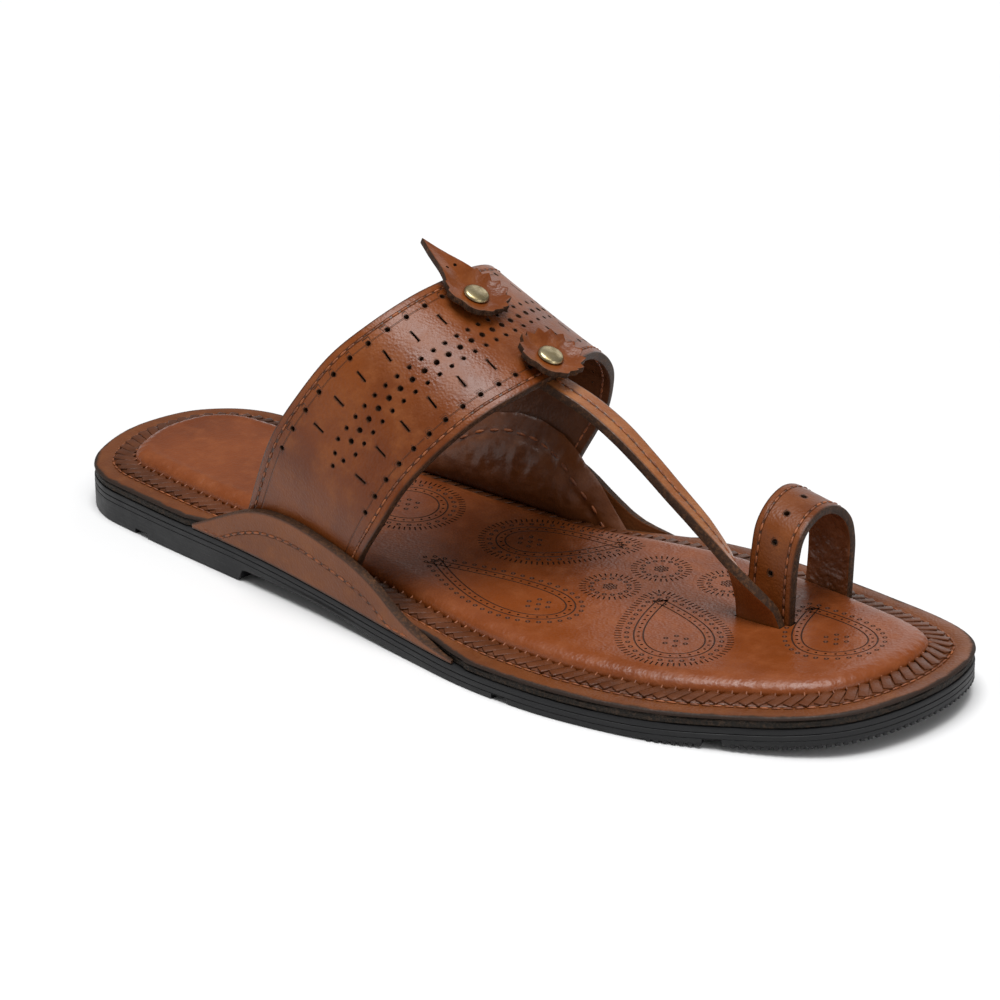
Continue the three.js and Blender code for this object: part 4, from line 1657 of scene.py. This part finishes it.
@dataclass
class InstepBand:
    """The broad band over the instep, punched, slit, scored and stitched."""

    shape: SoleShape
    finishes: Finishes
    wall: float = 2.6
    wing_wall: float = 2.6
    wing_lean: float = 0.06
    lateral_foot: BandFoot = BandFoot("lateral", 79.0, 124.5, 82.4, 128.6, 20.5)
    medial_foot: BandFoot = BandFoot("medial", 88.5, 137.5, 91.0, 141.4, 23.5)
    sections: tuple[BandSection, ...] = (
        BandSection((96.5, -41, 49), (137, -45, 33.5)),
        BandSection((103.5, -37.5, 62), (142.5, -40.5, 45)),
        BandSection((110.5, -31.5, 73.5), (150, -33.5, 56)),
        BandSection((118, -23, 82), (157, -24, 64.5)),
        BandSection((122.5, -11.5, 87), (162, -12, 69)),
        BandSection((124, 2, 88.5), (163.5, 1, 70.5)),
        BandSection((123, 16, 88), (162, 13.5, 70.5)),
        BandSection((119.5, 29.5, 83), (158.5, 26, 67.5)),
        BandSection((113.5, 38, 72), (154.5, 38, 60)),
        BandSection((107, 40.5, 59), (150, 46, 51)),
        BandSection((100, 40.5, 44.5), (146, 48, 39)),
    )
    crown_section: int = 5
    stitch: Triple = (2.3, 0.72, 0.58)
    stitch_inset: float = 2.5
    stitch_pitch: float = 3.0
    hole_widths: Triple = (1.7, 1.9, 1.4)
    hole_depth: float = 3.6
    slit: Strip = (0.64, 4.6, 3.1, 0.12)
    rear_holes: tuple[int, float, float] = (11, 6.45, 5.0)
    front_holes: tuple[int, float, float] = (12, 5.75, -5.7)
    rear_slits: tuple[float, ...] = (12.8, 22.2, 31.5, 40.5, 49.8, 59.3)
    front_slit_pitch: float = 9.65
    flower_pitch: float = 4.0
    flower_ends: tuple[tuple[float, float], ...] = ((61.6, -1.7), (61.6, 1.7), (64.8, 0.0))
    columns: int = 28
    rows_per_section: int = 13
    surface: Surface = field(init=False)
    crown: float = field(init=False)

    def __post_init__(self) -> None:
        """Works out the outer face and where its crown is."""
        self.surface = Surface(self._grid())
        self.crown = self.surface.nearest_row(self.sections[self.crown_section].rear)

    def _behind_wing(self, side: str, x: Array, z: Array) -> Array:
        """Gives points on the band's outer face where it lies behind a wing.

        Args:
            side: The wing's side.
            x: The points' x.
            z: Their heights.

        Returns:
            The points.
        """
        sign = -1 if side == "lateral" else 1
        lean = self.wing_lean * np.maximum(0, z - self.shape.outsole_top(x))
        y = self.shape.side(side, x) + sign * (lean - self.wing_wall - GAP)
        return np.column_stack([x, y, z])

    def _grid(self) -> Array:
        """Gives the outer face as rows from the lateral foot over to the medial foot.

        Returns:
            The rows of points.
        """
        shares = np.linspace(0, 1, self.columns + 1)
        feet = []
        for foot in (self.lateral_foot, self.medial_foot):
            x = foot.rear_x + (foot.front_x - foot.rear_x) * shares
            low = self._behind_wing(foot.side, x, self.shape.rim_top(x) + GAP)
            x = foot.tuck_rear_x + (foot.tuck_front_x - foot.tuck_rear_x) * shares
            feet.append([low, self._behind_wing(foot.side, x, np.full(len(x), foot.tuck_z))])
        edges = [(np.array(section.rear), np.array(section.front)) for section in self.sections]
        over = [rear + (front - rear) * shares[:, None] for rear, front in edges]
        table = np.array([*feet[0], *over, *feet[1][::-1]])
        columns = [refined(table[:, j], self.rows_per_section) for j in range(table.shape[1])]
        return np.stack(columns, axis=1)

    def _from_crown(self, distances: Array, inset: float) -> Array:
        """Gives places at distances from the crown, to the medial side if positive, and in from an edge."""
        along = self.crown + distances / self.surface.length
        return self.surface.frames(along, self.surface.from_edge(along, inset))

    def _punches(self) -> Piece:
        """Makes the cutter of the holes and slits.

        Returns:
            The cutter.
        """
        middle = self.surface.width(np.array([self.crown]))[0] / 2
        punches = [Pattern.punch(width, width, self.hole_depth) for width in self.hole_widths]
        hole, big, small = (punch.driven_in(0.32) for punch in punches)
        slit = Pattern.slab(*self.slit).driven_in(0.12)
        jobs = []
        for count, pitch, inset in (self.rear_holes, self.front_holes):
            jobs.append((hole, self._from_crown(both_sides(np.arange(1, count + 1) * pitch), inset)))
        front_slits = np.arange(2, 8) * self.front_slit_pitch - 5.3
        jobs.append((slit, self._from_crown(both_sides(np.array(self.rear_slits)), 11.4)))
        jobs.append((slit, self._from_crown(both_sides(front_slits), -12.2)))
        jobs.append((big, self._from_crown(np.arange(-14, 15) * self.flower_pitch, middle)))
        for off in (-3.5, 3.5):
            between_big = (np.arange(-15, 15) + 0.5) * self.flower_pitch
            jobs.append((small, self._from_crown(between_big, middle + off)))
        for distance, off in self.flower_ends:
            jobs.append((small, self._from_crown(both_sides(np.array([distance])), middle + off)))
        return repeat("band_punches", *jobs)

    def build(self) -> None:
        """Builds the band and its stitching, outside and inside."""
        surface, finishes = self.surface, self.finishes
        rows = (len(self.sections) + 3) * self.rows_per_section
        piece = sheet("instep_band", surface, rows, self.columns, self.wall)
        materials = [finishes.band, finishes.lining, finishes.raw_edge]
        dress(piece, materials)
        carve(piece, self._punches())
        hand_over(piece, materials, nodes=["upper_straps"])
        count = int(surface.length / self.stitch_pitch)
        along = (np.arange(1, count) + 0.5) / (count + 1)
        stitch = Pattern.bead(*self.stitch)
        jobs = []
        for inset in (self.stitch_inset, -self.stitch_inset):
            outer = surface.frames(along, surface.from_edge(along, inset))
            inner = outer.copy()
            inner[:, 0] -= outer[:, 3] * self.wall
            jobs += [(stitch, outer), (stitch, inner)]
        sew("band_thread", finishes, *jobs)


@dataclass(frozen=True)
class Fold:
    """A crease of the lining: where it is across the band's foot, its lean and its height."""

    across: float
    lean: float
    height: float
    narrow: float = 0.030

    def at(self, across: float, up: Array) -> Array:
        """Gives how far it stands out at shares of the way up."""
        off = across - self.across - self.lean * 0.12 * (up - 0.5)
        return self.height * np.exp(-((off / self.narrow) ** 2))


@dataclass
class InnerLining:
    """The dark glossy lining that is sewn inside the band's foot and the wing, on the big-toe side."""

    band: InstepBand
    finishes: Finishes
    wall: float = 1.2
    bulge: float = 2.6
    stitch: Triple = (3.1, 0.95, 0.9)
    stitch_drop: float = 7.0
    stitch_pitch: float = 4.2
    stitch_hollow: float = 0.55
    tops: tuple[tuple[float, float], ...] = (
        (-0.30, 1.2), (-0.12, 6.0), (0.05, 12.5), (0.22, 19.0), (0.38, 24.0), (0.52, 25.6), (0.68, 25.0),
        (0.85, 22.0), (1.0, 17.5), (1.15, 14.0), (1.30, 9.0), (1.42, 5.0), (1.52, 2.0),
    )
    folds: tuple[Fold, ...] = (
        Fold(0.16, 0.6, 0.25), Fold(0.34, -1.4, 0.40), Fold(0.47, 1.1, 0.25), Fold(0.66, -0.9, 0.45),
        Fold(0.80, 1.6, 0.30), Fold(0.97, -1.2, 0.35), Fold(1.12, 0.8, 0.25),
    )

    def _row(self, place: float, height: float) -> Array:
        """Gives one row of the patch's face, from the rim up.

        Args:
            place: Where the row is, as a share across the band's foot.
            height: How far it reaches above the rim.

        Returns:
            The row's points.
        """
        foot, wall = self.band.surface, self.band.wall
        up = np.linspace(0.0, 1.0, 25)
        inside = min(max(place, 0.0), 1.0)
        frames = foot.frames(1 - up * height / foot.length, inside)
        onward = np.where(frames[:, 2, 0] > 0, 1.0, -1.0)[:, None]
        beyond = (place - inside) * float(foot.width(np.array([1.0]))[0])
        behind_band = smooth_step(place, -0.20, -0.06) - smooth_step(place, 1.06, 1.22)
        folds = sum(fold.at(place, up) for fold in self.folds)
        hollow = self.stitch_hollow * np.exp(-((((1 - up) * height - self.stitch_drop) / 1.3) ** 2))
        bulge = folds * np.sin(math.pi * up) + self.bulge * np.sin(math.pi * up**0.6) ** 0.9 - hollow
        depth = wall * behind_band + GAP + self.wall + np.maximum(bulge, 0)
        return frames[:, 0] + frames[:, 2] * onward * beyond - frames[:, 3] * depth[:, None]

    def build(self) -> None:
        """Builds the patch and its coarse stitching."""
        tops = np.array(self.tops)
        places = np.linspace(tops[0, 0], tops[-1, 0], 131)
        heights = np.interp(places, tops[:, 0], tops[:, 1])
        face = Surface(np.array([self._row(*row) for row in zip(places, heights)]))
        face.normals *= -np.sign(face.normals[60, 12, 1])
        piece = sheet("inner_lining", face, 120, 24, self.wall, 0.3)
        hand_over(piece, [self.finishes.patch, self.finishes.patch, self.finishes.raw_edge], degrees=50)
        along = np.linspace(0.10, 0.93, int(face.length * 0.83 / self.stitch_pitch))
        across = 1 - self.stitch_drop / np.maximum(face.width(along), self.stitch_drop + 1.5)
        stitches = face.frames(along, across)
        turn_along(stitches)
        sew("lining_thread", self.finishes, (Pattern.bead(*self.stitch), stitches))


STRAP_STITCH = (2.3, 0.75, 0.55)
STRAP_STITCH_PITCH = 2.9


def sew_seams(name: str, finishes: Finishes, surface: Surface, insets: Sequence[float] = ()) -> None:
    """Sews seams along a strap.

    Args:
        name: The thread's name.
        finishes: The finishes.
        surface: The strap's outer face.
        insets: Each seam's distance in from the first edge, or from the last one if negative; none for
            one seam down the middle.
    """
    count = int(surface.length / STRAP_STITCH_PITCH)
    along = (np.arange(count) + 0.5) / count
    stitch = Pattern.bead(*STRAP_STITCH)
    across = [surface.from_edge(along, inset) for inset in insets] or [0.5]
    sew(name, finishes, *((stitch, surface.frames(along, share)) for share in across))


@dataclass(frozen=True)
class StrapRow:
    """A section of the toe strap: its middle, its width and its turn in degrees."""

    x: float
    y: float
    z: float
    width: float
    twist: float


@dataclass
class ToeStrap:
    """The narrow strap from under the front rosette to its slot beside the toe loop."""

    finishes: Finishes
    wall: float = 2.7
    clearance: float = 0.35
    rows: tuple[StrapRow, ...] = (
        StrapRow(151, 0, 71.8, 8, 0),
        StrapRow(158, 0, 68.7, 8, 0),
        StrapRow(164.5, 0, 66.6, 8, 0),
        StrapRow(174, 0, 63.5, 8, 0),
        StrapRow(184, 0, 58.5, 8, 0),
        StrapRow(193.5, 0, 52, 7.5, 2),
        StrapRow(202, 0.5, 45, 7.5, 6),
        StrapRow(210.5, 1.5, 37.5, 8, 14),
        StrapRow(217.5, 2.5, 30, 9, 32),
        StrapRow(222.5, 3.5, 23, 11, 60),
        StrapRow(226.5, 4.5, 16, 13.5, 86),
        StrapRow(228.3, 5, 9.6, 14.4, 90),
    )

    def _surface(self, grow: float = 0.0) -> Surface:
        """Gives the strap's outer face, grown on every side by a clearance.

        Args:
            grow: The clearance.

        Returns:
            The face.
        """
        middle = refined(np.array([[row.x, row.y, row.z] for row in self.rows], dtype=float), 12)
        places, numbers = np.linspace(0, len(self.rows) - 1, len(middle)), np.arange(len(self.rows))
        width = np.interp(places, numbers, [row.width for row in self.rows]) / 2 + grow
        twist = np.radians(np.interp(places, numbers, [row.twist for row in self.rows]))[:, None]
        along = unit(np.gradient(middle, axis=0))
        forward = unit(np.array([1.0, 0, 0]) - along * along[:, :1])
        sideways = np.array([0.0, -1, 0]) * np.cos(twist) + forward * np.sin(twist)
        sideways = unit(sideways - along * (along * sideways).sum(axis=1, keepdims=True))
        face = middle + unit(np.cross(sideways, along)) * (self.wall / 2 + grow)
        shares = np.linspace(-1, 1, 9)[:, None]
        return Surface(face[:, None] + sideways[:, None] * (shares * width[:, None, None]))

    def slot_cutter(self) -> Piece:
        """Makes the cutter of its slot in the footbed."""
        return sheet("strap_slot", self._surface(self.clearance), 60, 4, self.wall + 2 * self.clearance, 0.2)

    def build(self) -> None:
        """Builds the strap and its seam."""
        surface, finishes = self._surface(), self.finishes
        piece = sheet("toe_strap", surface, 120, 8, self.wall, 0.45)
        hand_over(piece, [finishes.strap, finishes.rosette, finishes.raw_edge], nodes=["upper_straps"])
        sew_seams("strap_thread", finishes, surface)


@dataclass(frozen=True)
class LoopSection:
    """A section of the toe loop: y and z of its outer face at the front edge and at the rear edge."""

    front: tuple[float, float]
    rear: tuple[float, float]


@dataclass
class ToeLoop:
    """The loop for the big toe."""

    finishes: Finishes
    wall: float = 2.6
    clearance: float = 0.35
    front_x: float = 236.0
    rear_x: float = 221.5
    holes: int = 5
    hole_width: float = 1.9
    hole_depth: float = 3.8
    sections: tuple[LoopSection, ...] = (
        LoopSection((6, 9.6), (6, 9.6)),
        LoopSection((6, 15.5), (6, 15.5)),
        LoopSection((6, 23), (7, 23.5)),
        LoopSection((6.5, 30), (8, 31)),
        LoopSection((9, 37), (10, 38.5)),
        LoopSection((14, 41), (15, 43)),
        LoopSection((21.5, 42.5), (22.5, 45)),
        LoopSection((29, 40.5), (30, 43)),
        LoopSection((35.5, 35), (36.5, 37.5)),
        LoopSection((38, 28), (39.5, 29.5)),
        LoopSection((38, 20.5), (40, 21.5)),
        LoopSection((37.5, 9.8), (39, 9.8)),
    )

    def _surface(self, grow: float = 0.0) -> Surface:
        """Gives the loop's outer face, grown on every side by a clearance.

        Args:
            grow: The clearance.

        Returns:
            The face.
        """
        rear = refined(np.array([(self.rear_x - grow, *section.rear) for section in self.sections]), 12)
        front = refined(np.array([(self.front_x + grow, *section.front) for section in self.sections]), 12)
        shares = np.linspace(0, 1, 9)[None, :, None]
        surface = Surface(rear[:, None] * (1 - shares) + front[:, None] * shares)
        surface.grid = surface.grid + surface.normals * grow
        return surface

    def slot_cutter(self) -> Piece:
        """Makes the cutter of its two slots in the footbed."""
        return sheet("loop_slots", self._surface(self.clearance), 60, 4, self.wall + 2 * self.clearance, 0.2)

    def build(self) -> None:
        """Builds the loop, its holes and its stitching."""
        surface, finishes = self._surface(), self.finishes
        piece = sheet("toe_loop", surface, 110, 10, self.wall, 0.45)
        materials = [finishes.loop, finishes.loop_lining, finishes.raw_edge]
        dress(piece, materials)
        punch = Pattern.punch(self.hole_width, self.hole_width, self.hole_depth, 14).driven_in(0.45)
        carve(piece, repeat("loop_punches", (punch, surface.frames(np.linspace(0.20, 0.60, self.holes)))))
        hand_over(piece, materials, nodes=["upper_straps"])
        sew_seams("loop_thread", finishes, surface, (2.3, -2.3))


@dataclass
class Wing:
    """A low leather wing at one side of the sole."""

    shape: SoleShape
    finishes: Finishes
    side: str
    wall: float = 2.6
    tip_wall: float = 0.9
    taper: float = 14.0
    stitch: Triple = (2.6, 0.76, 0.58)
    stitch_drop: float = 6.6
    stitch_pitch: float = 3.1
    sections: dict[str, Array] = field(init=False)

    def __post_init__(self) -> None:
        """Reads the frame's own wing."""
        self.sections = read_sections(f"wing_{self.side}")

    def _surface(self) -> Surface:
        """Gives the wing's outer face.

        Returns:
            The face.
        """
        xs = self.sections["x"]
        x = np.linspace(xs[0], xs[-1], 121)
        low, high, top_y = (np.interp(x, xs, self.sections[name]) for name in ("bottom", "top", self.side))
        shares = np.linspace(0, 1, 9)[None, :, None]
        foot = np.column_stack([x, self.shape.side(self.side, x), low])[:, None]
        top = np.column_stack([x, top_y, high])[:, None]
        return Surface(foot * (1 - shares) + top * shares, 1 if self.side == "medial" else -1)

    def _wall_share(self, along: Array) -> Array:
        """Gives the share of the wall at shares along, thinner towards both tips.

        Args:
            along: Shares along the wing.

        Returns:
            The shares of the wall.
        """
        rear, front = self.sections["x"][[0, -1]]
        x = rear + (front - rear) * along
        full = smooth_step(x, rear, rear + self.taper) * (1 - smooth_step(x, front - self.taper, front))
        return (self.tip_wall + (self.wall - self.tip_wall) * full) / self.wall

    def build(self) -> None:
        """Builds the wing and its stitching."""
        surface, finishes = self._surface(), self.finishes
        piece = sheet(f"side_wing_{self.side}", surface, 110, 12, self.wall, 0.3, self._wall_share)
        materials = [finishes.wing, finishes.rim, finishes.raw_edge]
        hand_over(piece, materials, nodes=[f"wing_{self.side}"], degrees=45)
        along = np.linspace(0.03, 0.97, int(surface.length * 0.94 / self.stitch_pitch))
        along = along[surface.width(along) > 4.0]
        width = surface.width(along)
        stitches = surface.frames(along, 1.0 - np.minimum(self.stitch_drop, width - 1.0) / width)
        turn_along(stitches)
        sew(f"wing_thread_{self.side}", finishes, (Pattern.bead(*self.stitch), stitches))


# ---- rosettes and rivets --------------------------------------------------------------------------


@dataclass
class Rosette:
    """A pinked leather rosette held by a brass rivet."""

    band: InstepBand
    finishes: Finishes
    name: str
    share: float
    under: float
    leaf: bool = False
    radius: float = 9.6
    tooth: float = 1.3
    teeth: int = 16
    wall: float = 1.9
    cup: float = 2.4
    flat: float = 4.1
    hole: float = 1.75
    leaf_reach: float = 22.5
    leaf_half_width: float = 5.9
    leaf_root: float = 7.0
    leaf_lift: float = 1.6
    leaf_holes: tuple[float, float] = (10.6, 1.7)
    leaf_hole_width: float = 1.1
    edge_round: float = 0.22
    cap_radius: float = 3.7
    cap_height: float = 1.25
    cap_rim: float = 0.42
    shank_radius: float = 1.4
    flange_radius: float = 2.7
    steps_per_tooth: int = 4

    def _place(self) -> Array:
        """Gives its middle on the band, and the directions forward, across and out.

        Returns:
            The place, as repeat takes it.
        """
        rear, front = self.band.surface.points(np.full(2, self.band.crown), np.array([0.0, 1.0]))
        forward = unit(front - rear)
        across = unit(np.array([0.0, 1, 0]) - forward * forward[1])
        return np.array([[rear + (front - rear) * self.share, forward, across, np.cross(forward, across)]])

    def _edge(self, turn: Array) -> Array:
        """Gives the radius of its pinked edge at angles from forward.

        Args:
            turn: The angles.

        Returns:
            The radii there.
        """
        phase = (turn / (2 * math.pi) * self.teeth) % 1.0
        toothed = self.radius - self.tooth * (1 - np.abs(2 * phase - 1))
        if not self.leaf:
            return toothed
        from_leaf = np.abs(turn % (2 * math.pi) - math.pi)
        slope = self.leaf_half_width / (self.leaf_reach - self.leaf_root)
        leaf = self.leaf_reach * slope / (np.sin(from_leaf) + slope * np.cos(from_leaf))
        return np.where(from_leaf < math.pi / 2, np.maximum(toothed, leaf), toothed)

    def _height(self, radius: Array, turn: Array) -> Array:
        """Gives how far the leather stands off the band.

        Args:
            radius: Distances from the rivet.
            turn: Angles from forward.

        Returns:
            The heights there.
        """
        share = np.clip((radius - self.flat) / (self.radius - self.flat), 0, 1)
        petals = 0.30 * np.cos(turn * 5 + 0.7) * share + 0.18 * np.cos(turn * 9) * share
        lift = self.leaf_lift * np.maximum(0, (radius - self.radius) / (self.leaf_reach - self.radius))
        return self.cup * share**1.5 + petals + lift

    def build(self) -> None:
        """Builds the rosette and its rivet."""
        steps = self.teeth * self.steps_per_tooth
        turn = np.linspace(0, 2 * math.pi, steps, endpoint=False)
        reach = self._edge(turn) - self.flat
        shares = (0.0, 0.12, 0.3, 0.5, 0.7, 0.86, 1.0)
        radii = [np.full(steps, self.hole), *(self.flat + reach * share for share in shares)]
        lower = [np.column_stack([r * np.cos(turn), r * np.sin(turn), self._height(r, turn) + GAP])
                 for r in radii]
        upper = [ring + UP * self.wall for ring in lower]
        rings = [*upper, *lower[::-1]]
        place = self._place()
        pattern = Pattern(np.vstack(rings), ring_faces(len(rings), steps))
        piece = repeat(f"rosette_leather_{self.name}", (pattern, place))
        worn = np.zeros(len(rings))
        worn[len(upper) - 1 : len(upper) + 1] = 0.55
        set_attribute(piece, "edge", np.repeat(worn, steps))
        face_out(piece)
        materials = [self.finishes.rosette, self.finishes.raw_edge]
        dress(piece, materials)
        out = Vector(place[0, 3])
        for polygon in piece.data.polygons:
            polygon.material_index = int(abs(polygon.normal.dot(out)) < 0.45)
        round_edges(piece, self.edge_round)
        if self.leaf:
            back, aside = self.leaf_holes
            holes = np.repeat(place, 2, axis=0)
            holes[:, 0] -= place[0, 1] * back + np.outer((1, -1), place[0, 2] * aside)
            punch = Pattern.punch(self.leaf_hole_width, self.leaf_hole_width, 14.0, 10)
            carve(piece, repeat("leaf_punches", (punch, holes)))
        hand_over(piece, materials, nodes=[f"rosette_{self.name}"])
        self._rivet(place)

    def _rivet(self, place: Array) -> None:
        """Makes the rivet: a flange, a shank and a domed cap, as rows of radius and height.

        Args:
            place: The rosette's place and directions.
        """
        base, cap = GAP + self.wall + GAP, self.cap_radius
        profile = [(self.flange_radius, -self.under - GAP - 0.7), (self.flange_radius, -self.under - GAP)]
        profile += [(self.shank_radius, -self.under - GAP), (self.shank_radius, base)]
        profile += [(cap * 0.97, base), (cap, base + 0.18), (cap * 0.97, base + self.cap_rim)]
        dome = self.cap_height - self.cap_rim
        for share in (0.9, 0.78, 0.62, 0.44, 0.24):
            profile.append((cap * share, base + self.cap_rim + dome * math.sqrt(1 - share**2)))
        rivet = add(bpy.ops.mesh.primitive_circle_add, vertices=48, radius=1.0, fill_type="NGON")
        with editing(rivet):
            bpy.ops.transform.resize(value=(profile[0][0], profile[0][0], 1))
            bpy.ops.transform.translate(value=(0, 0, profile[0][1]))
            for (was, low), (radius, high) in zip(profile, profile[1:]):
                bpy.ops.mesh.extrude_region_move(TRANSFORM_OT_translate={"value": (0, 0, high - low)})
                bpy.ops.transform.resize(value=(radius / was, radius / was, 1))
        piece = repeat(f"rivet_{self.name}_brass", (Pattern.taken_from(rivet), place))
        face_out(piece)
        hand_over(piece, [self.finishes.brass], [f"rivet_{self.name}"], 35)


# ---- studio ---------------------------------------------------------------------------------------


@dataclass(frozen=True)
class Lamp:
    """A soft square light that looks at the sandal: where it stands, its size and its power."""

    name: str
    where: Triple
    size: float
    power: float


@dataclass
class Studio:
    """A pale floor, soft light and the camera."""

    eye: Triple = (0.52424, -0.68749, 0.40079)
    target: Triple = (0.004, -0.002, 0.030)
    lens: float = 122.4
    sun_from: Triple = (0.0, -0.12, 0.98)
    sun_angle: float = 36.0
    sun_power: float = 3.4
    room_light: float = 0.22
    lamps: tuple[Lamp, ...] = (
        Lamp("back", (-0.3, 1.3, 0.6), 0.9, 2.6),
        Lamp("fill", (1.2, -0.25, 0.45), 0.7, 3.0),
        Lamp("toe", (0.62, -0.36, 1.25), 0.55, 3.2),
        Lamp("side", (-0.85, -1.05, 0.38), 0.8, 1.8),
    )

    def build(self) -> None:
        """Builds the floor, the lights and the camera."""
        floor = add(bpy.ops.mesh.primitive_plane_add, size=30, location=(0, 0, 0))
        floor.name = "studio_floor"
        graph = Graph("floor_paper")
        tone = graph.mix(graph.ramp(graph.noise(900.0), 0.3, 0.7), (0.685, 0.685, 0.69), (0.70, 0.70, 0.70))
        dress(floor, [graph.finish(Base_Color=tone, Roughness=0.9, Specular_IOR_Level=0.2)])
        sun = bpy.data.lights.new("key", "SUN")
        sun.energy = self.sun_power
        sun.angle = math.radians(self.sun_angle)
        self._put(sun, (0.0, 0.0, 0.0), -Vector(self.sun_from))
        for lamp in self.lamps:
            data = bpy.data.lights.new(lamp.name, "AREA")
            data.energy = lamp.power
            data.size = lamp.size
            self._put(data, lamp.where, Vector((0, 0, 0.03)) - Vector(lamp.where))
        self._world()
        self._camera()

    @staticmethod
    def _put(data: bpy.types.ID, where: Triple, ahead: Vector) -> Piece:
        """Puts a light or camera somewhere and turns it.

        Args:
            data: The light or camera.
            where: Its place.
            ahead: The way that it looks.

        Returns:
            Its object.
        """
        item = bpy.data.objects.new(data.name, data)
        bpy.context.collection.objects.link(item)
        item.location = where
        item.rotation_euler = ahead.to_track_quat("-Z", "Y").to_euler()
        return item

    def _world(self) -> None:
        """Adds the even light of the room."""
        world = bpy.data.worlds.new("room")
        world.use_nodes = True
        background = world.node_tree.nodes["Background"]
        background.inputs["Color"].default_value = (1.0, 1.0, 1.0, 1.0)
        background.inputs["Strength"].default_value = self.room_light
        bpy.context.scene.world = world

    def _camera(self) -> None:
        """Adds the camera."""
        data = bpy.data.cameras.new("camera")
        data.lens = self.lens
        data.sensor_width = 36.0
        data.clip_start = 0.05
        data.clip_end = 50.0
        camera = self._put(data, self.eye, Vector(self.target) - Vector(self.eye))
        bpy.context.scene.camera = camera
        bpy.context.scene.view_settings.view_transform = "Standard"


def main() -> None:
    """Builds the sandal, piece by piece."""
    logging.basicConfig(level=logging.INFO, format="%(name)s: %(message)s")
    finishes = Finishes()
    shape = SoleShape()
    Studio().build()
    Sole(shape, finishes).build()
    strap, loop = ToeStrap(finishes), ToeLoop(finishes)
    footbed = Footbed(shape, finishes)
    footbed.pad([strap.slot_cutter(), loop.slot_cutter()])
    footbed.braid()
    band = InstepBand(shape, finishes)
    band.build()
    InnerLining(band, finishes).build()
    strap.build()
    loop.build()
    for side in ("lateral", "medial"):
        Wing(shape, finishes, side).build()
    Rosette(band, finishes, "rear", 0.25, band.wall, leaf=True).build()
    Rosette(band, finishes, "front", 0.9, band.wall + 3.0).build()


if __name__ == "__main__":
    main()
